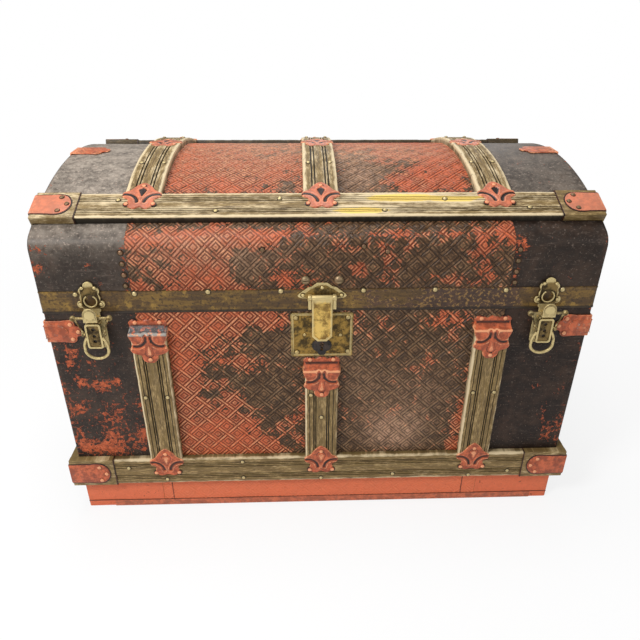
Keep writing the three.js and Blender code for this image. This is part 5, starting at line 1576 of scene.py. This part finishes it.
class TRUNK_OT_lock(TrunkStep, bpy.types.Operator):
    """Lock plate, keyhole cover, hasp and the plate it hangs from"""

    bl_idname = "trunk.lock"
    bl_label = "Lock and hasp"

    def build(self, sizes, colours, section):
        old_brass = brass("lock_plate_brass", colours, linear(156, 124, 60), linear(72, 58, 32), 0.6)
        golden = brass("hasp_brass", colours, linear(224, 188, 104), linear(142, 112, 58), 0.9)
        antique = brass("antique_brass", colours, linear(142, 116, 62), linear(74, 58, 30), 0.9)
        brown = brass("bolt_brown", colours, linear(122, 92, 82), linear(74, 54, 48), 0.3)
        iron = iron_paint("lock_iron", colours)
        front = on_wall("front")

        face = plate(rounded_outline((-47, 306), (47, 382), 3), 0.35, 1.7, 0.5)
        border = plate(rounded_outline((-46.4, 306.6), (46.4, 381.4), 3), 1.2, 2.0, 0.3)
        bored(border, [plate(rounded_outline((-42.5, 310.5), (42.5, 377.5), 2), 0.0, 4.0, 0)])
        holes = (((-4.2, 339.3), (4.2, 356.7)), ((-3, 317), (3, 331)))
        bored(face, [plate(rounded_outline(low, high, 2), -2, 4, 0) for low, high in holes])
        rivets = nails(flat_places([(-39, 374), (39, 374), (-38, 314), (40, 315)], 1.6), 3.8, 2.6)
        rivets = joined([rivets, nails(flat_places([(-26, 345), (28, 344)], 1.6), 2.8, 2.0)])
        pieces = [mark(rubbed(face), "crest", 0.5), rubbed(border, 0.5), rivets]
        settled(mounted(pieces, front), "brass_lock_plate", "trunk_body", old_brass, ["lock_plate"])

        half = [
            (0, -5), (4.6, -4), (7, 1.2), (10.8, 3.4), (14, 7.2), (15, 13), (13, 18.4), (9.4, 20.8), (6, 24.6), (0, 26),
        ]
        cover = plate([(x, y + 314) for x, y in smooth_loop(mirrored(half), 4)], 1.9, 3.3, 0.5)
        key = plate(arc(0, 328, 3.4, 3.4, [22.5 * step for step in range(16)]), 0, 5, 0)
        slit = plate([(-2.4, 317), (2.4, 317), (1.6, 327.5), (-1.6, 327.5)], 0, 5, 0)
        bored(cover, [key, slit])
        pieces = [rubbed(cover), nails(flat_places([(-10, 327), (10, 327)], 3.2), 1.7, 1.1)]
        settled(mounted(pieces, front), "iron_keyhole_cover", "trunk_body", iron, ["keyhole_escutcheon"])

        half = [(20, 0), (22, 7.5), (33, 9.5), (36, 12.5), (34, 15.5), (20.5, 26.2), (15, 27.6), (7.5, 33.4)]
        outline = mirrored([(x, 398 + z) for x, z in half])
        hanger = [rubbed(plate(outline, 1.8, 3.2, 0.5), 0.62)]
        raised = mirrored([(x * 0.8, 398 + 2.4 + z * 0.82) for x, z in half])
        hanger.append(rubbed(plate(raised, 3.0, 3.9, 0.5), 0.34))
        for low, high in both_sides(15.5, 20.6):
            hanger.append(rubbed(rod((low, 410, 8.5), (high, 410, 8.5), 4, 20, 0.5), 0.7))
            hanger.append(rubbed(block((low, 391, 2.8), (high, 413.8, 9.8), 0.9, 3), 0.7))
        hanger.append(rubbed(rod((-19, 410, 8.5), (19, 410, 8.5), 1.6, 12, 0), 0.6))
        hanger.append(nails(flat_places([(0, 424), (-28, 412), (28, 412)], 3.7), 3.0, 2.2))
        settled(mounted(hanger, front), "hasp_hanger", "lid", antique, ["hasp_plate"])

        def tongue(half, bottom, top, corner):
            return [
                (corner - half, bottom), (half - corner, bottom), (half, bottom + corner), (half, top), (-half, top),
                (-half, bottom + corner),
            ]

        base = plate(tongue(15, 338, 409, 8), 7.0, 10.0, 0.6, 3)
        rim = plate(tongue(14.9, 338.1, 408, 8), 9.6, 11.2, 0)
        eased(bored(rim, [plate(tongue(11.4, 341.6, 401, 6.4), 9, 12, 0)]), 0.4)
        barrel = rod((-15, 410, 8.5), (15, 410, 8.5), 4, 24, 0.4)
        staple = bored(block((-2, 341.5, -12), (2, 354.5, 7.4), 0.6), [block((-4, 345.2, -10.6), (4, 350.8, -5.2), 0)])
        hasp = [rubbed(base, 0.42), *(rubbed(piece, 0.66) for piece in (rim, barrel, staple))]
        settled(mounted(hasp, front), "brass_hasp", "hasp", golden, ["hasp"])
        bolts = []
        for x in (-24, 24):
            head = lathed([(0, 0), (6.4, 0), (6.8, 1.0), (6.2, 3.2), (3.8, 5.2), (0, 5.8)], 20, (x, 435, 0.2))
            groove = block((x - 7, 434.3, 4.0), (x + 7, 435.7, 8), 0)
            bolts.append(rubbed(bored(head, [groove]), 0.55))
        settled(mounted(bolts, front), "hasp_bolt_heads", "lid", brown)


class TRUNK_OT_drawbolts(TrunkStep, bpy.types.Operator):
    """Drawbolts on both sides of the lock: hook, base, lever and link"""

    bl_idname = "trunk.drawbolts"
    bl_label = "Drawbolts"

    def build(self, sizes, colours, section):
        # This iron finish paints the dark plate behind each lever's holes, a painted shadow.
        iron = iron_paint("drawbolt_lining", colours)
        for side, name in SIDES:
            finish = brass(f"drawbolt_brass_{name}", colours, linear(132, 109, 65), linear(58, 46, 27), 0.95)
            front = on_wall("front", 0, side * DRAWBOLT, 0)

            half = [
                (9, 0), (12.5, 2.5), (12, 7), (17, 8), (19.6, 12), (18.4, 17), (14.4, 19), (14.6, 24), (13, 29),
                (14.8, 34), (12.4, 39), (7.6, 41.4), (6.2, 45.6), (0, 48.6),
            ]
            yoke = plate([(x, y + 388) for x, y in smooth_loop(mirrored(half), 3)], 1.8, 4.2, 0.6, 3)
            hook = [rubbed(yoke, 0.72)]
            window = [(-9, 398), (9, 398), (11.5, 404), (9, 413), (0, 416), (-9, 413), (-11.5, 404)]
            bored(yoke, [plate(smooth_loop(window, 3), 0, 6, 0)])
            hook.append(rubbed(block((-10, 379.3, 1.8), (10, 389.5, 4.3), 0.5), 0.6))
            hook.append(rubbed(block((-10, 379.3, 1.8), (10, 381.3, 20.3), 0.5), 0.6))
            lip = [(-10, 379.3), (10, 379.3)] + arc(0, 391.3, 10, 10, range(0, 181, 12))
            hook.append(rubbed(plate(lip, 18.5, 20.4, 0.7, 3), 0.6))
            hook.append(rubbed(plate(arc(0, 391, 7.4, 6.6, range(0, 360, 18)), 20.0, 20.45, 0.2), 0.75))
            ring = [(x, y, 4.2) for x, y in arc(0, 406, 9, 9, range(-240, 61, 15))]
            hook.append(rubbed(tube(ring, 1.1, 8), 0.8))
            hook.append(nails(flat_places([(-9, 427), (9, 427), (-14.6, 401), (14.6, 401)], 4.0), 2.8, 1.8))
            nodes = [f"drawbolt_keeper_{name}"]
            settled(mounted(hook, front), f"keeper_hook_{name}", "lid", finish, nodes)

            base = [rubbed(plate(rounded_outline((-15, 327), (15, 377), 6), 0.4, 1.7, 0.5), 0.55)]
            for low, high in both_sides(7.2, 9.8):
                base.append(rubbed(block((low, 368.8, 1.2), (high, 375.2, 12.8), 1.0, 3), 0.6))
            base.append(rubbed(rod((-9.8, 372, 10), (9.8, 372, 10), 1.6, 12, 0), 0.6))
            base.append(nails(flat_places([(-11, 333), (11, 333), (0, 331)], 1.6), 2.0, 1.2))
            nodes = [f"drawbolt_base_{name}"]
            settled(mounted(base, front), f"drawbolt_plate_{name}", "trunk_body", finish, nodes)

            strap = plate(rounded_outline((-11.5, 334), (11.5, 375), 4), 14.0, 16.2, 0)
            turns = [20 * step for step in range(18)]
            bored(strap, [plate(arc(0, z, 2.6, 2.6, turns), 10, 20, 0) for z in (365.2, 354.5, 345.5)])
            eased(strap, 0.35)
            rim = plate(rounded_outline((-11.4, 334.1), (11.4, 374.9), 4), 15.8, 17.2, 0)
            eased(bored(rim, [plate(rounded_outline((-8.6, 336.9), (8.6, 372.1), 2.6), 12, 20, 0)]), 0.35)
            bend = arc(0, 331, 17, -15, [-8 + 196 * i / 32 for i in range(33)])
            arm = [(11.2, 352), (14.5, 346), (16.7, 339)]
            path = arm + bend + [(-x, y) for x, y in reversed(arm)]
            loop = tube([(x, y, 15.1) for x, y in path], 2.2, 12)
            arms = []
            for low, high in both_sides(4.4, 6.8):
                arms.append(rod((low, 372, 10), (high, 372, 10), 3.2, 18, 0.3))
                arms.append(block((low, 369.4, 10), (high, 374.6, 14.4), 0.4))
            body = f"drawbolt_lever_{name}"
            # A dark plate behind the lever's holes, a painted shadow so that they read black.
            shadow_backing = plate(rounded_outline((-9.5, 336), (9.5, 368.6), 3), 13.2, 14.1, 0)
            settled(rubbed(mounted([shadow_backing], front)), f"drawbolt_lever_lining_{name}", body, iron)
            lever = [mark(rubbed(strap), "crest", 0.3), *(rubbed(piece, 0.62) for piece in (rim, loop, *arms))]
            settled(mounted(lever, front), f"drawbolt_lever_plate_{name}", body, finish, [body])

            bar = [rod((-26, 384, 15.1), (26, 384, 15.1), 2.2, 16, 0.3)]
            ball = [(0, -4.4), (2.2, -3.8), (3.8, -2.2), (4.4, 0), (3.8, 2.2), (2.2, 3.8), (0, 4.4)]
            for sign, (low, high) in zip((-1, 1), both_sides(13.9, 16.9)):
                bar.append(lathed(ball, 16, (sign * 26, 384, 15.1)))
                eye = rod((low, 358, 15.1), (high, 358, 15.1), 4, 20, 0.4)
                bar.append(bored(eye, [rod((low - 1, 358, 15.1), (high + 1, 358, 15.1), 2.3, 16, 0)]))
                side_arm = [(15.4, 361), (17.6, 367), (21.2, 376), (23.8, 383)]
                bar.append(tube([(sign * x, y, 15.1) for x, y in side_arm], 1.2, 10))
            body = f"drawbolt_link_{name}"
            link = mounted([rubbed(piece, 0.36) for piece in bar], front)
            settled(link, f"drawbolt_link_bar_{name}", body, finish, [body])


class TRUNK_OT_handles(TrunkStep, bpy.types.Operator):
    """Stitched leather handles and the caps that hold them"""

    bl_idname = "trunk.handles"
    bl_label = "Handles"

    def build(self, sizes, colours, section):
        leather = worn_leather("strap_leather", colours)
        metal = red_paint("handle_cap_paint", colours)
        steel = brass("handle_steel", colours, linear(130, 116, 92), linear(74, 62, 48), 0.8)
        stand, mouth, end, drop, height = 10.1, 77.0, 110.6, 46.0, 262.0
        loop = mirrored([(0.94, 0), (0.8, -0.28), (0.6, -0.72), (0.36, -0.95), (0.12, -1)])[::-1]
        points = [(-end, 0, 0), (-(end + mouth) / 2, 0, 0), (-mouth, 0, 0)]
        points += [(x * mouth, y * drop, 0) for x, y in loop]
        points += [(mouth, 0, 0), ((end + mouth) / 2, 0, 0), (end, 0, 0)]
        path = smooth_line([points[0], *points, points[-1]], 5) + [points[-1]]
        for sign, side in SIDES:
            wall, flat = on_wall(side, stand, 0, height), on_wall(side, 0.0, 0, height)
            body = f"leather_handle_{side}"
            strap = tube(path, lambda s: 6.4 + 1.15 * math.sin(math.pi * s) ** 2, 18)
            mapped(strap, lambda co: Vector((co.x, co.y + 0.25 * ruffle(*co, 0.2), co.z + 0.3 * ruffle(*co, 0.14))))
            mark(strap, "crest", 0.5)
            model = lathed([(0, -2.1), (0.45, -1.8), (0.6, 0), (0.45, 1.8), (0, 2.1)], 6)
            stitches = []
            for a, b in zip(path[6:-8], path[7:-7]):
                a, b = Vector(a), Vector(b)
                turn = (b - a).to_track_quat("Z", "X").to_matrix().to_4x4()
                beside = (b - a).cross(Vector((0, 0, 1))).normalized() * 2.6
                above = Vector((0, 0, 6.5 if abs(a.x) < 60 else 6.0))
                for spot in ((a + b) / 2 + beside + above, (a + b) / 2 - beside + above):
                    stitches.append(copied(model, Matrix.Translation(spot) @ turn))
            bpy.data.objects.remove(model)
            stitches = mounted(stitches, wall)
            settled(mounted([strap], wall), f"leather_strap_{side}", body, leather, [body], 50)
            settled(stitches, f"strap_stitches_{side}", body, leather, smooth=50)
            for where, (low, high) in zip(("front", "back"), both_sides(mouth, 113.0)[::sign]):
                wide = plate(rounded_outline((low, -22), (high, 22), 5.4), 0.3, 1.8, 0.5, 3)
                hood = rod((low, 0, stand), (high, 0, stand), 9.85, 28, 1.2)
                bored(hood, [block((low, -9.85, 1.2), (high, 9.85, stand), 0.6)], "UNION")
                inner = (low + 1.8, high + 5) if low < 0 else (low - 5, high - 1.8)
                bored(hood, [rod((inner[0], 0, stand), (inner[1], 0, stand), 8.0, 28, 0)])
                heads = nails(flat_places([(x, y) for x in (low + 7, high - 7) for y in (-16, 16)], 1.8), 2.6, 1.8)
                cap = mark(joined([rubbed(outward(wide), 0.52), rubbed(outward(hood), 0.52)]), "wear", 0.5)
                nodes = [f"handle_cap_{where}_{side}"]
                settled(mounted([cap], flat), f"strap_cap_{where}_{side}", "trunk_body", metal, nodes)
                name = f"strap_cap_nails_{where}_{side}"
                settled(mounted([heads], flat), name, "trunk_body", steel, smooth=60)


class TRUNK_OT_boards(TrunkStep, bpy.types.Operator):
    """Bare pine inside, and the hinges and lock case"""

    bl_idname = "trunk.boards"
    bl_label = "Boards and hinges"

    def build(self, sizes, colours, section):
        long_pine = bare_pine("pine_along", colours, (6, 60, 90))
        deep_pine = bare_pine("pine_across", colours, (60, 6, 90))
        iron = iron_paint("hinge_iron", colours)
        bright = brass("lock_bolt_brass", colours, colours.brass, linear(112, 96, 44), 0.7)
        for node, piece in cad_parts.items():
            if piece.hide_render:
                continue
            if "board" in node or "panel" in node or node in ("dome_shell", "dust_lip"):
                dressed(piece, deep_pine if "end" in node else long_pine)
            elif "hinge" in node or node == "lock_case":
                dressed(piece, iron)
            elif node == "lock_bolt":
                dressed(piece, bright)


def dressed(piece, material):
    for slot in piece.material_slots:
        slot.material = material
    if not piece.material_slots:
        piece.data.materials.append(material)


class TRUNK_OT_stage(TrunkStep, bpy.types.Operator):
    """Camera, floor and soft studio light"""

    bl_idname = "trunk.stage"
    bl_label = "Stage"

    def build(self, sizes, colours, section):
        scene = bpy.context.scene
        lens = bpy.data.cameras.new("photo_camera")
        lens.lens, lens.sensor_width = 33.75, 36
        camera = bpy.data.objects.new("photo_camera", lens)
        scene.collection.objects.link(camera)
        camera.location = (-0.033, -1.034, 0.800)
        turns = ((-2.2, "Z"), (90 - 28.8, "X"), (0.38, "Z"))
        pan, tilt, roll = (Matrix.Rotation(math.radians(angle), 4, axis) for angle, axis in turns)
        camera.rotation_euler = (pan @ tilt @ roll).to_euler()
        scene.camera = camera

        floor = applied(added(bpy.ops.mesh.primitive_plane_add, size=60, location=(0, 0, -0.0005)))
        floor.name = "floor"
        f = Finish("white_floor")
        f.surface((0.86, 0.86, 0.86), 0.9, 0.0, 0.5)
        far = f.node("VectorMath", "Value", {0: f.place}, operation="LENGTH")
        seen = f.times(f.node("LightPath", "Is Camera Ray"), f.step(far, 0.45, 1.5, 0.82, 1.0))
        glow = f.node("Emission", "Emission", {"Strength": 1.0})
        shown = f.node("MixShader", "Shader", {0: seen, 1: f.shader.outputs["BSDF"], 2: glow})
        f.put(f.tree.nodes["Material Output"].inputs["Surface"], shown)
        floor.data.materials.append(f.material)

        scene.world = bpy.data.worlds.new("studio")
        scene.world.use_nodes = True
        w = Nodes(scene.world.node_tree)
        seen = w.sum(w.node("LightPath", "Is Camera Ray"), w.node("LightPath", "Is Transmission Ray"), "MAXIMUM")
        background = w.tree.nodes["Background"].inputs
        w.put(background["Color"], (1, 1, 1))
        level = w.node("MapRange", "Result", {"Value": seen, "To Min": 0.3, "To Max": 1.0})
        w.put(background["Strength"], level)

        lamps = [
            ("key", (-1.3, -1.3, 1.9), 0.6, 38), ("fill", (1.6, -1.9, 1.3), 1.4, 10),
            ("top", (-0.2, 0.1, 2.4), 1.0, 24), ("rear", (0.3, 2.2, 1.6), 1.8, 12),
        ]
        for name, spot, size, power in lamps:
            light = bpy.data.lights.new(name, "AREA")
            light.size, light.energy = size, power
            lamp = bpy.data.objects.new(name, light)
            scene.collection.objects.link(lamp)
            lamp.location = spot
            lamp.rotation_euler = (Vector((0, 0, 0.3)) - Vector(spot)).to_track_quat("-Z", "Y").to_euler()
        scene.view_settings.view_transform = "Standard"


STEPS = [
    TRUNK_OT_stage, TRUNK_OT_weave_sheets, TRUNK_OT_plain_sheets, TRUNK_OT_slats, TRUNK_OT_clasps, TRUNK_OT_clamps,
    TRUNK_OT_edge_strips, TRUNK_OT_nails, TRUNK_OT_lock, TRUNK_OT_drawbolts, TRUNK_OT_handles, TRUNK_OT_boards,
]


class TRUNK_PT_panel(bpy.types.Panel):
    """Lists the sizes, the colours and every step"""

    bl_idname = "TRUNK_PT_panel"
    bl_label = "Dome Top Trunk"
    bl_space_type = "VIEW_3D"
    bl_region_type = "UI"
    bl_category = "Trunk"

    def draw(self, context):
        for group in (context.scene.trunk_sizes, context.scene.trunk_colours):
            box = self.layout.box()
            for key in group.__annotations__:
                box.prop(group, key)
        for step in STEPS:
            self.layout.operator(step.bl_idname)


CLASSES = [TrunkSizes, TrunkColours, *STEPS, TRUNK_PT_panel]


def register():
    for item in CLASSES:
        bpy.utils.register_class(item)
    bpy.types.Scene.trunk_sizes = PointerProperty(type=TrunkSizes)
    bpy.types.Scene.trunk_colours = PointerProperty(type=TrunkColours)


def unregister():
    del bpy.types.Scene.trunk_colours
    del bpy.types.Scene.trunk_sizes
    for item in reversed(CLASSES):
        bpy.utils.unregister_class(item)


def main():
    register()
    for step in STEPS:
        group, name = step.bl_idname.split(".")
        getattr(getattr(bpy.ops, group), name)()


if __name__ == "__main__":
    main()
